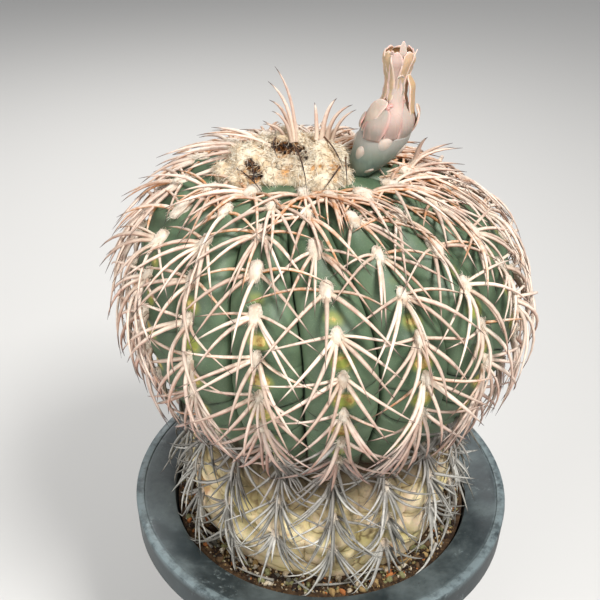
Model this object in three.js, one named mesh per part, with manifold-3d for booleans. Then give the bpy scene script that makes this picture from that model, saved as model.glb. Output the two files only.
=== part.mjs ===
// A round, ribbed cactus with long curved spines, a woolly crown and one faded, closed flower,
// growing in a round plastic pot filled with gritty soil.
// Millimetres, +Z up. The origin is the centre of the pot's underside, and the front faces -Y.
// Plant heights are measured from the pot's rim, and azimuths from the front (-Y) towards +X.

import * as THREE from "three";
import { mergeVertices } from "three/addons/utils/BufferGeometryUtils.js";
import Module from "manifold-3d";

const wasm = await Module();
wasm.setup();

// ---------------------------------------------------------------- driving dimensions

const CLEARANCE = 0.3;

// Pot
const POT_HEIGHT = 148;
const RIM_RADIUS = 88;
const RIM_LIP_WIDTH = 4;
const RIM_GROOVE_DEPTH = 0.7;
const RIM_ROUNDING = 1;
const RIM_SKIRT_HEIGHT = 15;
const BRIM_DROP = 4;
const MOUTH_RADIUS = 69.5;
const FOOT_RADIUS = 58;
const FOOT_CHAMFER = 2;
const POT_WALL = 2;
const POT_COLUMNS = 48;
const DRAIN_HOLE_COUNT = 6;
const DRAIN_HOLE_RADIUS = 5;
const DRAIN_CIRCLE_RADIUS = 40;
const DRAIN_HOLE_SIDES = 12;

// Soil
const SOIL_LEVEL = -6.5;
const SOIL_BUMP = 1.2;
const SOIL_RINGS = 4;

// Stem: radius and height above the rim, from the soil line up to the crown
const STEM_OUTLINE = [
  [56, -6], [57, 0], [60, 12], [60, 28], [57, 42], [54, 52], [58, 60], [68, 74], [75, 90],
  [78, 106], [76, 124], [69, 140], [57, 152], [42, 160], [27, 162.4], [13, 162.6], [0, 162.6],
];
const STEM_WIDEST_HEIGHT = 106;
const STEM_TOP_HEIGHT = 162.6;
const STEM_LEAN = 12;
const ROOT_RADIUS = 56;
const ROOT_DEPTH = 34;
const ROOT_CHAMFER = 3;
const STEM_ROWS = 18;

// Ribs, shallow on the trunk, full on the globe and fading out on the crown
const RIB_COUNT = 16;
const RIB_FIRST_AZIMUTH = THREE.MathUtils.degToRad(5.6);
const RIB_DEPTH = 6;
const TRUNK_RIB_DEPTH = 2.2;
const RIB_FLATNESS = 4;
const TRUNK_TOP_HEIGHT = 45;
const GLOBE_BOTTOM_HEIGHT = 75;
const RIBS_START_HEIGHT = 8;
const CROWN_RIB_RADII = [16, 55];
// Places of the mesh columns across one rib, where -0.5 is the groove on its left
const RIB_COLUMNS = [-0.5, -0.34, 0, 0.34];

// Areoles, the cushions that the spines grow from
const AREOLE_PITCH = 15.5;
const AREOLE_FIRST = 36;
const AREOLE_LAST = 214;
const AREOLE_START = 5;
const AREOLE_TURN = 5 / 16;
const TRUNK_BEGINS = 166;

// Spines
const SPINE_LENGTH = 37;
const SPINE_RADIUS = 0.95;
const SPINE_SINK = 3;
const SPINE_RISE = 0.42;
const SPINE_DROOP = 0.16;
const SPINE_TAPER = 0.9;
const TRUNK_SPINE_LENGTH = 36;
// Directions of the spines at one areole and at the next, in degrees from straight down
const SPINE_ANGLES = [[-76, 6], [74, -8]];
const TRUNK_SPINE_ANGLES = [[-64, 26], [-24, 62]];
// Parts of a trunk spine's length that it stands out, drops and sweeps sideways by its middle and tip
const TRUNK_SPINE_OUT = [0.22, 0.1];
const TRUNK_SPINE_DROP = [0.36, 0.73];
const TRUNK_SPINE_SWEEP = [0.16, 0.62];
// Part of a trunk spine's angle by which its drop is shortened
const TRUNK_SPINE_FAN = 0.8;
const TRUNK_SPINE_CLEARANCE = 2.5;
const SPINE_FLOOR = -2.2;
const SPINE_FLOOR_RADIUS = 70;
const SPINE_FLOOR_SLOPE = 0.29;
const RANDOM_SEED = 4127;

// Crown wool: centre x, y, radius and height of each tuft
const WOOL_BASE_HEIGHT = STEM_TOP_HEIGHT + CLEARANCE + 0.1;
const WOOL_PAD = [-17, 2, 14, 4];
const WOOL_TUFTS = [
  [-31, -1, 8.5, 11.5], [-6, -2, 8, 12], [-19, 12, 8, 10], [-4, 11, 5.5, 7], [-20, -10, 5.5, 5],
];
const CROWN_SPINE_COUNT = 18;
const CROWN_SPINE_LENGTH = 31;

// Flower: points on its axis, then radius at heights above the rim
const FLOWER_AXIS = [
  [11.5, -1.5, 163], [17.8, -1.8, 174], [21.2, -2, 184],
  [22.8, -2.4, 195], [23.2, -2.8, 204], [23.6, -3, 217],
];
const TUBE_RADII = [[163, 5], [167, 6.8], [174, 9.2], [181, 10.1]];
const PETAL_RADII = [
  [181, 9.8], [185, 9.6], [188, 8.6], [191, 7], [194, 4.6], [197, 3.9], [204, 3.9], [212, 4.3],
];
const TUBE_TOP_HEIGHT = 181;
const PETAL_TOP_HEIGHT = 212;
const FLOWER_COLUMNS = 12;
const FLOWER_KEEP_OUT = 13;
// Height, count and length of each row of scales on the tube
const SCALE_ROWS = [[166, 4, 7], [172, 5, 8]];
// Part of a scale's length, and how far it then stands off the tube
const SCALE_LIFT = [[0, -1.5], [0.35, 0.9], [0.7, 1.3], [1, 1.9]];
// Height and distance from the axis of points along a broad outer petal and along an inner one
const OUTER_PETAL = [[183, 8.4], [186, 10.1], [189.5, 9.3], [193.5, 7.4]];
const INNER_PETAL = [[191, 5.6], [197, 4.2], [206, 4.2], [211, 5.3], [214.5, 6.2]];
const SIDE_PETAL = [[188, 7.8], [193, 7.6], [200, 6.6], [205, 5.9]];
const OUTER_PETAL_COUNT = 5;
const INNER_PETAL_COUNT = 7;

// ---------------------------------------------------------------- shared helpers

function seededRandom(seed) {
  let state = seed;
  return () => {
    state = (state + 0x6d2b79f5) | 0;
    let mixed = Math.imul(state ^ (state >>> 15), 1 | state);
    mixed = (mixed + Math.imul(mixed ^ (mixed >>> 7), 61 | mixed)) ^ mixed;
    return ((mixed ^ (mixed >>> 14)) >>> 0) / 4294967296;
  };
}

const random = seededRandom(RANDOM_SEED);

// A random number between -range and +range
function jitter(range) {
  return (2 * random() - 1) * range;
}

// The value at x on a line through [x, value] pairs in rising order of x
function valueAt(pairs, x) {
  let value = pairs[0][1];
  for (let i = 1; i < pairs.length; i += 1) {
    const [x0, value0] = pairs[i - 1];
    const [x1, value1] = pairs[i];
    if (x > x0) {
      value = THREE.MathUtils.mapLinear(Math.min(x, x1), x0, x1, value0, value1);
    }
  }
  return value;
}

function toSolid(geometry) {
  const bare = geometry.clone();
  bare.deleteAttribute("normal");
  bare.deleteAttribute("uv");
  const merged = mergeVertices(bare, 1e-4);
  const mesh = new wasm.Mesh({
    numProp: 3,
    vertProperties: new Float32Array(merged.attributes.position.array),
    triVerts: new Uint32Array(merged.index.array),
  });
  return new wasm.Manifold(mesh);
}

function toGeometry(solid) {
  const mesh = solid.getMesh();
  const geometry = new THREE.BufferGeometry();
  geometry.setAttribute("position", new THREE.BufferAttribute(mesh.vertProperties, 3));
  geometry.setIndex(new THREE.BufferAttribute(mesh.triVerts, 1));
  geometry.computeVertexNormals();
  return geometry;
}

function joinAll(solids) {
  return solids.reduce((joined, solid) => joined.add(solid));
}

// A lathe about Z whose first column is at the front
function lathe(outline, columns) {
  const points = outline.map(([radius, height]) => new THREE.Vector2(radius, height));
  return new THREE.LatheGeometry(points, columns).rotateX(Math.PI / 2);
}

function moveVertices(geometry, move) {
  const position = geometry.attributes.position;
  const point = new THREE.Vector3();
  for (let i = 0; i < position.count; i += 1) {
    point.fromBufferAttribute(position, i);
    move(point);
    position.setXYZ(i, point.x, point.y, point.z);
  }
  return geometry;
}

// A cone bent along a curve. Its section has the given sides and half sizes, and `outward` is
// the way that the middle of its upper face looks.
function bentCone({ curve, outward, sides, steps, halfWidth, halfThickness }) {
  const cone = new THREE.ConeGeometry(1, 1, sides, steps);
  const across = new THREE.Vector3();
  const lift = new THREE.Vector3();
  return moveVertices(cone, (point) => {
    const along = THREE.MathUtils.clamp(point.y + 0.5, 0, 1);
    const unscale = along < 0.999 ? 1 / (1 - along) : 0;
    const tangent = curve.getTangent(along);
    across.crossVectors(tangent, outward).normalize();
    lift.crossVectors(across, tangent).normalize();
    const sideways = point.x * unscale * halfWidth(along);
    const upwards = point.z * unscale * halfThickness(along);
    point.copy(curve.getPoint(along)).addScaledVector(across, sideways).addScaledVector(lift, upwards);
  });
}

function namedMesh(name, geometry, color, roughness) {
  const material = new THREE.MeshStandardMaterial({ color, roughness, metalness: 0 });
  const mesh = new THREE.Mesh(geometry, material);
  mesh.name = name;
  return mesh;
}

// ---------------------------------------------------------------- pot and soil

function wallRadius(height) {
  const top = MOUTH_RADIUS + POT_WALL;
  return THREE.MathUtils.lerp(FOOT_RADIUS, top, height / POT_HEIGHT);
}

function makePot() {
  const grooveRadius = RIM_RADIUS - RIM_LIP_WIDTH;
  const skirtInside = RIM_RADIUS - POT_WALL;
  const brimBottom = POT_HEIGHT - BRIM_DROP;
  const wallTop = brimBottom - 2 * POT_WALL;
  const outside = [
    [0, 0],
    [FOOT_RADIUS - FOOT_CHAMFER, 0],
    [wallRadius(FOOT_CHAMFER), FOOT_CHAMFER],
    [wallRadius(wallTop), wallTop],
    [skirtInside, POT_HEIGHT - POT_WALL - RIM_ROUNDING],
    [skirtInside, POT_HEIGHT - RIM_SKIRT_HEIGHT],
    [RIM_RADIUS - RIM_ROUNDING / 2, POT_HEIGHT - RIM_SKIRT_HEIGHT],
    [RIM_RADIUS, POT_HEIGHT - RIM_ROUNDING],
    [RIM_RADIUS - RIM_ROUNDING, POT_HEIGHT],
  ];
  const inside = [
    [grooveRadius + RIM_ROUNDING / 2, POT_HEIGHT],
    [grooveRadius, POT_HEIGHT - RIM_GROOVE_DEPTH],
    [grooveRadius - RIM_ROUNDING, POT_HEIGHT - RIM_GROOVE_DEPTH],
    [MOUTH_RADIUS + RIM_ROUNDING, brimBottom],
    [MOUTH_RADIUS, brimBottom - RIM_ROUNDING],
    [wallRadius(POT_WALL) - POT_WALL, POT_WALL],
    [0, POT_WALL],
  ];
  let pot = toSolid(lathe([...outside, ...inside], POT_COLUMNS));
  for (let i = 0; i < DRAIN_HOLE_COUNT; i += 1) {
    const angle = (2 * Math.PI * i) / DRAIN_HOLE_COUNT;
    const size = [DRAIN_HOLE_RADIUS, DRAIN_HOLE_RADIUS, 6 * POT_WALL, DRAIN_HOLE_SIDES];
    const hole = new THREE.CylinderGeometry(...size).rotateX(Math.PI / 2);
    hole.translate(DRAIN_CIRCLE_RADIUS * Math.sin(angle), DRAIN_CIRCLE_RADIUS * Math.cos(angle), 0);
    pot = pot.subtract(toSolid(hole));
  }
  return namedMesh("pot", toGeometry(pot), 0x46555a, 0.45);
}

// The soil stands just clear of the pot and has a plain hole that the root stands in
function makeSoil() {
  const surface = POT_HEIGHT + SOIL_LEVEL;
  const outerAt = (height) => wallRadius(height) - POT_WALL - 2 * CLEARANCE;
  const holeRadius = ROOT_RADIUS + 2 * CLEARANCE;
  const holeBottom = POT_HEIGHT - ROOT_DEPTH - CLEARANCE;
  const bottom = POT_WALL + CLEARANCE;
  const top = [];
  for (let i = 0; i <= SOIL_RINGS; i += 1) {
    top.push([THREE.MathUtils.lerp(outerAt(surface), holeRadius, i / SOIL_RINGS), surface]);
  }
  const outline = [[0, bottom], [outerAt(bottom), bottom], ...top, [holeRadius, holeBottom], [0, holeBottom]];
  const geometry = moveVertices(lathe(outline, POT_COLUMNS), (point) => {
    if (point.z > surface - 0.01) point.z += soilBump(point.x, point.y);
  });
  return namedMesh("soil", geometry, 0x3a2c20, 0.95);
}

function soilBump(x, y) {
  const broad = Math.sin(x * 0.21 + 1.3) * Math.cos(y * 0.17 - 0.4);
  const fine = Math.sin(x * 0.83 + y * 0.61) * Math.cos(y * 0.9 - x * 0.35);
  return SOIL_BUMP * (0.5 * broad + 0.5 * fine);
}

// ---------------------------------------------------------------- stem

const stemCurve = new THREE.SplineCurve(
  STEM_OUTLINE.map(([radius, height]) => new THREE.Vector2(radius, height)),
);
const stemCurveLength = stemCurve.getLength();
// [height, radius] pairs along the stem, in rising order of height
const stemRadii = stemCurve.getPoints(8 * STEM_OUTLINE.length).map(({ x, y }) => [y, x]);

// Sideways shift of the stem's middle, which leans over to the left above its widest part
function leanAt(height) {
  const rise = Math.max(0, height - STEM_WIDEST_HEIGHT) / (STEM_TOP_HEIGHT - STEM_WIDEST_HEIGHT);
  return -STEM_LEAN * Math.min(rise, 1) ** 2;
}

function ribDepthAt(radius, height) {
  const { lerp, smoothstep } = THREE.MathUtils;
  const trunkToGlobe = smoothstep(height, TRUNK_TOP_HEIGHT, GLOBE_BOTTOM_HEIGHT);
  const crownFade = height > STEM_WIDEST_HEIGHT ? smoothstep(radius, ...CROWN_RIB_RADII) : 1;
  const soilFade = smoothstep(height, 0, RIBS_START_HEIGHT);
  return lerp(TRUNK_RIB_DEPTH, RIB_DEPTH, trunkToGlobe) * crownFade * soilFade;
}

function makeStemSolid() {
  const outline = [
    [0, -ROOT_DEPTH],
    [ROOT_RADIUS - ROOT_CHAMFER, -ROOT_DEPTH],
    [ROOT_RADIUS, ROOT_CHAMFER - ROOT_DEPTH],
  ];
  for (let i = 0; i < STEM_ROWS; i += 1) {
    const point = stemCurve.getPointAt(i / STEM_ROWS);
    outline.push([point.x, Math.min(point.y, STEM_TOP_HEIGHT)]);
  }
  outline.push([0, STEM_TOP_HEIGHT]);
  const columns = RIB_COUNT * RIB_COLUMNS.length;
  const ribAngle = (2 * Math.PI) / RIB_COUNT;
  const geometry = moveVertices(lathe(outline, columns), (point) => {
    const radius = Math.hypot(point.x, point.y);
    const turn = Math.atan2(point.x, -point.y) / (2 * Math.PI);
    const column = (Math.round(turn * columns) + columns) % columns;
    const across = RIB_COLUMNS[column % RIB_COLUMNS.length];
    const rib = Math.floor(column / RIB_COLUMNS.length);
    const azimuth = RIB_FIRST_AZIMUTH + (rib + across) * ribAngle;
    const depth = radius < 0.01 ? 0 : ribDepthAt(radius, point.z);
    const ribbed = radius - depth * Math.abs(2 * across) ** RIB_FLATNESS;
    point.x = ribbed * Math.sin(azimuth) + leanAt(point.z);
    point.y = -ribbed * Math.cos(azimuth);
    point.z += POT_HEIGHT;
  });
  return toSolid(geometry);
}

// ---------------------------------------------------------------- spines

// Place and local directions of an areole, `distance` down the rib from the crown's middle
function areoleFrame(rib, distance) {
  const along = 1 - distance / stemCurveLength;
  const profile = stemCurve.getPointAt(along);
  const slope = stemCurve.getTangentAt(along);
  const azimuth = RIB_FIRST_AZIMUTH + (rib * 2 * Math.PI) / RIB_COUNT;
  const radial = new THREE.Vector3(Math.sin(azimuth), -Math.cos(azimuth), 0);
  const place = radial.clone().multiplyScalar(profile.x);
  place.x += leanAt(profile.y);
  place.z = POT_HEIGHT + profile.y;
  const outward = radial.clone().multiplyScalar(slope.y);
  outward.z = -slope.x;
  const down = radial.clone().multiplyScalar(-slope.x);
  down.z = -slope.y;
  const side = new THREE.Vector3(Math.cos(azimuth), Math.sin(azimuth), 0);
  return { place, outward, down, side };
}

// Lowest height at which a spine clears the soil and the pot's brim
function spineFloor(point) {
  const radius = Math.hypot(point.x, point.y);
  const climb = Math.max(0, radius - SPINE_FLOOR_RADIUS) * SPINE_FLOOR_SLOPE;
  return POT_HEIGHT + SPINE_FLOOR + climb + SPINE_RADIUS;
}

function spineSolid(root, control, tip, outward) {
  for (const point of [control, tip]) {
    point.z = Math.max(point.z, spineFloor(point));
  }
  const taper = (along) => SPINE_RADIUS * (1 - SPINE_TAPER * along);
  const curve = new THREE.QuadraticBezierCurve3(root, control, tip);
  if (nearFlower(curve)) return null;
  return toSolid(
    bentCone({ curve, outward, sides: 3, steps: 2, halfWidth: taper, halfThickness: taper }),
  );
}

// One spine: it rises from the areole, then curves back down towards the stem
function spineFrom({ place, outward, down, side }, angle, length, rise, droop) {
  const flat = down.clone().multiplyScalar(Math.cos(angle)).addScaledVector(side, Math.sin(angle));
  const height = rise * length;
  const root = place.clone().addScaledVector(outward, -SPINE_SINK);
  const control = place.clone().addScaledVector(flat, 0.4 * length).addScaledVector(outward, height);
  const tip = place.clone().addScaledVector(flat, 0.84 * length).addScaledVector(outward, 0.4 * height);
  tip.addScaledVector(down, droop * length);
  return spineSolid(root, control, tip, outward);
}

// A spine on the trunk: it hangs down the rib from the areole, then sweeps sideways
function trunkSpineFrom({ place, outward, down, side }, angle, length) {
  const sweep = Math.sin(angle);
  const root = place.clone().addScaledVector(outward, -SPINE_SINK);
  const points = [0, 1].map((i) => {
    const drop = TRUNK_SPINE_DROP[i] * Math.cos(i * TRUNK_SPINE_FAN * angle);
    const point = place.clone().addScaledVector(down, drop * length);
    point.addScaledVector(outward, TRUNK_SPINE_OUT[i] * length);
    point.addScaledVector(side, TRUNK_SPINE_SWEEP[i] * sweep * length);
    return clearOfTrunk(point);
  });
  return spineSolid(root, ...points, outward);
}

// Moves a point out from the stem's axis until it clears the trunk
function clearOfTrunk(point) {
  const radius = Math.hypot(point.x, point.y);
  const least = valueAt(stemRadii, point.z - POT_HEIGHT) + TRUNK_SPINE_CLEARANCE;
  const push = Math.max(1, least / radius);
  return point.set(point.x * push, point.y * push, point.z);
}

// Distances down rib `rib` of its areoles. Each rib starts a little further down than the one
// before it, so the areoles stand in spirals.
function areoleDistances(rib) {
  const start = AREOLE_START + AREOLE_PITCH * AREOLE_TURN * rib;
  const first = Math.ceil((AREOLE_FIRST - start) / AREOLE_PITCH);
  const distances = [];
  for (let i = first; start + i * AREOLE_PITCH <= AREOLE_LAST; i += 1) {
    distances.push(start + i * AREOLE_PITCH);
  }
  return distances;
}

function makeSpines() {
  const spines = [];
  for (let rib = 0; rib < RIB_COUNT; rib += 1) {
    for (const [i, distance] of areoleDistances(rib).entries()) {
      const frame = areoleFrame(rib, distance);
      const onTrunk = distance > TRUNK_BEGINS;
      const anglePairs = onTrunk ? TRUNK_SPINE_ANGLES : SPINE_ANGLES;
      for (const degrees of anglePairs[i % 2]) {
        const angle = THREE.MathUtils.degToRad(degrees + jitter(12));
        const length = (onTrunk ? TRUNK_SPINE_LENGTH : SPINE_LENGTH) * (1 + jitter(0.14));
        const rise = SPINE_RISE + jitter(0.08);
        const droop = Math.abs(degrees) > 45 ? SPINE_DROOP + jitter(0.06) : 0;
        const spine = onTrunk
          ? trunkSpineFrom(frame, angle, length)
          : spineFrom(frame, angle, length, rise, droop);
        spines.push(spine);
      }
    }
  }
  return spines.filter((spine) => spine !== null);
}

function makeCactus() {
  const cactus = joinAll([makeStemSolid(), ...makeSpines()]);
  return namedMesh("cactus", toGeometry(cactus), 0x587a58, 0.6);
}

// ---------------------------------------------------------------- crown wool

function woolTuft([x, y, radius, height], columns) {
  const tuft = new THREE.SphereGeometry(1, columns, 6).rotateX(Math.PI / 2);
  moveVertices(tuft, (point) => {
    const lump = 1 + 0.07 * Math.sin(5 * point.x + 3 * point.z + x) * Math.cos(4 * point.y + y);
    point.set(
      x + point.x * radius * lump,
      y + point.y * radius * lump,
      POT_HEIGHT + WOOL_BASE_HEIGHT + point.z * height * lump,
    );
  });
  return toSolid(tuft);
}

function crownSpine(index) {
  const [x, y, radius, height] = WOOL_TUFTS[index % WOOL_TUFTS.length];
  const heading = 2.4 * index + jitter(0.3);
  const spread = 0.25 + 0.5 * random();
  const away = new THREE.Vector3(Math.sin(heading), -Math.cos(heading), 0);
  const top = POT_HEIGHT + WOOL_BASE_HEIGHT + 0.6 * height;
  const root = new THREE.Vector3(x, y, top).addScaledVector(away, 0.4 * radius);
  root.z -= SPINE_SINK;
  const length = CROWN_SPINE_LENGTH * (1 + jitter(0.25));
  const rise = new THREE.Vector3(0, 0, length * (1 - 0.5 * spread));
  const control = root.clone().addScaledVector(away, 0.4 * spread * length).addScaledVector(rise, 0.6);
  const tip = root.clone().addScaledVector(away, spread * length).add(rise);
  return spineSolid(root, control, tip, away);
}

function makeCrownWool() {
  const pieces = [woolTuft(WOOL_PAD, 16), ...WOOL_TUFTS.map((tuft) => woolTuft(tuft, 10))];
  for (let i = 0; i < CROWN_SPINE_COUNT; i += 1) {
    const spine = crownSpine(i);
    if (spine !== null) pieces.push(spine);
  }
  const below = new THREE.BoxGeometry(120, 120, 40);
  below.translate(0, 0, POT_HEIGHT + WOOL_BASE_HEIGHT - 20);
  const wool = joinAll(pieces).subtract(toSolid(below));
  return namedMesh("crown_wool", toGeometry(wool), 0xe6d6a6, 0.95);
}

// ---------------------------------------------------------------- flower

const flowerCurve = new THREE.CatmullRomCurve3(
  FLOWER_AXIS.map(([x, y, height]) => new THREE.Vector3(x, y, POT_HEIGHT + height)),
);

// The axis point at a height above the rim, found by halving
function flowerAxisAt(height) {
  let low = 0;
  for (let step = 0.5; step > 1e-7; step /= 2) {
    if (flowerCurve.getPoint(low + step).z < POT_HEIGHT + height) {
      low += step;
    }
  }
  return flowerCurve.getPoint(low);
}

function nearFlower(curve) {
  return curve.getPoints(12).some((point) => {
    const height = point.z - POT_HEIGHT;
    const low = height < FLOWER_AXIS[0][2] - SPINE_SINK;
    const keepOut = Math.min(valueAt(TUBE_RADII, height) + 3.5, FLOWER_KEEP_OUT);
    return !low && flowerAxisAt(height).distanceTo(point) < keepOut;
  });
}

// A round body along the flower's axis, with flat level ends
function flowerBody(radii, bottom, top, rows, columns) {
  const outline = [[0, bottom]];
  for (let i = 0; i <= rows; i += 1) {
    const height = THREE.MathUtils.lerp(bottom, top, i / rows);
    outline.push([valueAt(radii, height), height]);
  }
  outline.push([0, top]);
  const geometry = moveVertices(lathe(outline, columns), (point) => {
    const axis = flowerAxisAt(point.z);
    point.x += axis.x;
    point.y += axis.y;
    point.z += POT_HEIGHT;
  });
  return toSolid(geometry);
}

// A thin leaf-like blade that starts inside the flower and bends along the given outline
function flowerBlade({ azimuth, stations, width, thickness }) {
  const away = new THREE.Vector3(Math.sin(azimuth), -Math.cos(azimuth), 0);
  const points = stations.map(([height, radius]) => {
    return flowerAxisAt(height).setZ(POT_HEIGHT + height).addScaledVector(away, radius);
  });
  return toSolid(
    bentCone({
      curve: new THREE.CatmullRomCurve3(points),
      outward: away,
      sides: 4,
      steps: 3,
      halfWidth: (along) => 0.5 * width * (0.35 + Math.sin(Math.PI * Math.min(0.15 + along, 1))),
      halfThickness: () => 0.5 * thickness,
    }),
  );
}

function makeFlowerTube() {
  const bottom = FLOWER_AXIS[0][2];
  const pieces = [flowerBody(TUBE_RADII, bottom, TUBE_TOP_HEIGHT, 4, FLOWER_COLUMNS)];
  for (const [row, [height, count, length]] of SCALE_ROWS.entries()) {
    for (let i = 0; i < count; i += 1) {
      const stations = SCALE_LIFT.map(([along, lift]) => {
        const station = height + along * length;
        return [station, valueAt(TUBE_RADII, station) + lift];
      });
      const azimuth = (2 * Math.PI * (i + 0.5 * (row % 2) + 0.15)) / count;
      pieces.push(flowerBlade({ azimuth, stations, width: 6, thickness: 1.2 }));
    }
  }
  return namedMesh("flower_tube", toGeometry(joinAll(pieces)), 0x7d968c, 0.6);
}

function makeFlowerPetals() {
  const bottom = TUBE_TOP_HEIGHT + CLEARANCE;
  const pieces = [flowerBody(PETAL_RADII, bottom, PETAL_TOP_HEIGHT, 10, FLOWER_COLUMNS)];
  for (let i = 0; i < OUTER_PETAL_COUNT; i += 1) {
    const azimuth = (2 * Math.PI * (i + 0.4)) / OUTER_PETAL_COUNT;
    pieces.push(flowerBlade({ azimuth, stations: OUTER_PETAL, width: 9, thickness: 1.3 }));
  }
  for (let i = 0; i < INNER_PETAL_COUNT; i += 1) {
    const azimuth = (2 * Math.PI * (i + 0.2)) / INNER_PETAL_COUNT + jitter(0.12);
    const stretch = 1 + 0.01 * jitter(1);
    const stations = INNER_PETAL.map(([height, radius]) => [height * stretch, radius]);
    pieces.push(flowerBlade({ azimuth, stations, width: 4.4, thickness: 1.2 }));
  }
  pieces.push(flowerBlade({ azimuth: 1.35, stations: SIDE_PETAL, width: 4, thickness: 1.1 }));
  return namedMesh("flower_petals", toGeometry(joinAll(pieces)), 0xe6d0b8, 0.7);
}

// ---------------------------------------------------------------- assembly

const group = new THREE.Group();
group.add(makePot(), makeSoil(), makeCactus(), makeCrownWool(), makeFlowerTube(), makeFlowerPetals());

export default group;
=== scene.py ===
"""A round, ribbed cactus with long curved spines, a woolly crown and one faded, closed flower, in a
round plastic pot of gritty soil. Sizes are in millimetres. Plant heights are measured from the
pot's rim, azimuths from the front (-Y) towards +X, and distances down a rib from the crown's middle."""

import math
import random
from collections import namedtuple
from functools import partialmethod

import bmesh
import bpy
import numpy as np
from mathutils import Matrix, Vector, noise
from mathutils.bvhtree import BVHTree


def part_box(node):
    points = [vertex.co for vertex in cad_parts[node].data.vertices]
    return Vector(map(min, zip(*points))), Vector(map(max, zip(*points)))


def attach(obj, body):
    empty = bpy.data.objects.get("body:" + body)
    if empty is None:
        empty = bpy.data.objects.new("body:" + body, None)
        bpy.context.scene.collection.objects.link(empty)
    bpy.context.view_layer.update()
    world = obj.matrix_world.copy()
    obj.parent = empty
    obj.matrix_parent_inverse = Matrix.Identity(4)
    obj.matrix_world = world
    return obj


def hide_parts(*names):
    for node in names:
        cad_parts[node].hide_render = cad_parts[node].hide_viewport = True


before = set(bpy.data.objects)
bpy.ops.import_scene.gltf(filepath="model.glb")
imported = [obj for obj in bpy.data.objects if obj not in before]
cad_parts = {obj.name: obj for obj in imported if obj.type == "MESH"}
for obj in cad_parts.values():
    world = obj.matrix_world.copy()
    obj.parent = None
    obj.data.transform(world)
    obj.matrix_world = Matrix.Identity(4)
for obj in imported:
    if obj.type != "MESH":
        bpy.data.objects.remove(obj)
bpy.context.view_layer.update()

# ---------------------------------------------------------------- sizes

MM = 0.001
POT_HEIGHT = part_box("pot")[1].z / MM
RIM_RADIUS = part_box("pot")[1].x / MM

# Camera: its place from the middle of the rim, and its turns in degrees
CAMERA_PLACE = (0, -358.6, 334.2)
CAMERA_PITCH = 33.01
CAMERA_YAW = -1.80
CAMERA_ROLL = 0.94
CAMERA_LENS = 60
SENSOR_WIDTH = 36

# Name, place, size and power of each studio light, and how far above the rim they all point
LIGHTS = [
    ("key", (300, -460, 980), 220, 10.4),
    ("fill", (-640, -700, 360), 600, 5.2),
    ("back", (-200, 800, 760), 400, 5),
]
LIGHT_TARGET = 60
ROOM_LIGHT = 0.46
FLOOR_REACH = 4000

# Pot
LIP_WIDTH = 4
GROOVE_DEPTH = 0.7
RIM_ROUNDING = 1
SKIRT_HEIGHT = 15
BRIM_DROP = 4
MOUTH_RADIUS = 69.5
FOOT_RADIUS = 58
FOOT_CHAMFER = 2
POT_WALL = 2
POT_COLUMNS = 192
SHARP_EDGE = math.radians(35)
DRAIN_HOLE_COUNT = 6
DRAIN_HOLE_RADIUS = 5
DRAIN_CIRCLE_RADIUS = 40
DRAIN_HOLE_COLUMNS = 32
# The cutter of a hole reaches from below the foot to inside the cup
CUTTER_BOTTOM = -3
CUTTER_TOP = 5

# Soil, with the hollow that the root stands in, and its loose grit
SOIL_LEVEL = -6.5
SOIL_GAP = 0.6
SOIL_FOOT = 2.3
SOIL_COLUMNS = 144
ROOT_HOLLOW_RADIUS = 50
ROOT_HOLLOW_DEPTH = 8
GRIT_RING = (66.5, 57)
# Grains for each square millimetre, smallest and largest radius, and roundness
GRIT_SIZES = [(0.55, 0.45, 0.95, 1), (0.085, 1.1, 2.2, 2)]

# Stem: radius and height up to the crown
STEM_OUTLINE = [
    (56, -6), (57, 0), (60, 12), (60, 28), (57, 42), (54, 52), (58, 60), (68, 74), (75, 90),
    (78, 106), (76, 124), (69, 140), (57, 152), (42, 160), (27, 162.4), (13, 162.6), (0, 162.6),
]
WIDEST_HEIGHT = 106
STEM_TOP = 162.6
STEM_LEAN = 12
ROOT_DEPTH = 12
RIB_COUNT = 16
FIRST_RIB_AZIMUTH = math.radians(5.6)
RIB_ANGLE = 2 * math.pi / RIB_COUNT
COLUMNS_PER_RIB = 22
STEM_ROWS = 228

# Zones down the stem: the distances where each thing begins and where it is there in full, or, for
# an end, where it starts to go and where it is gone
TRUNK_FORM = (150, 168)
CORKY_SKIN = (150, 172)
CREASES = (88, 118)
# Painted shade along the crease lines begins here and is full here
CREASE_SHADE = (88, 116)
SCARS = (55, 92)
RAGGED_SCARS = (86, 118)
UNDERSIDE_SHADE = (110, 138)
NECK_SHADE = (146, 158)
NECK_SHADE_ENDS = (170, 188)
TRUNK_SHADE_ENDS = (180, 201)
STRAIGHTER_SPINES = (96, 128)
HUGGING_SPINES_END = (95, 140)
TALLER_SPINES = (48, 84)
FULL_SPINES = (50, 84)
SHORTER_SPINES = (118, 135)
AGED_SPINES = (92, 142)
NECK_SPINES_END = (166, 190)
WARM_SPINES_END = (34, 80)
SMALLER_CUSHIONS = (60, 120)
RUSTY_CUSHIONS_END = (38, 60)

# Areoles, the cushions that the spines grow from
AREOLE_PITCH = 15.5
AREOLE_START = 5
AREOLE_TURN = 5 / 16
INNER_AREOLE = 20
LAST_AREOLE = 216
TRUNK_BEGINS = 166
WOOL_REACH = 40
# The search for the stem's skin under an areole: how far out it starts, and how far in it goes
SEAT_START = 9
SEAT_DEPTH = 20

# Spines
SPINE_LENGTH = 38
SPINE_RADIUS = 0.92
SPINE_STEPS = 8
SPINE_SIDES = 5
SPINE_SINK = 1.2
SPINE_LOSS = 0.05
FRONT_CROWN_LOSS = 0.34
# Areoles behind this y have two more spines
EXTRA_SPINES_FROM = -38
# From here on down the globe, more and more spines are as grey as the trunk's
GREYING_START = 126
GREYING_SPAN = 32
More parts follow.
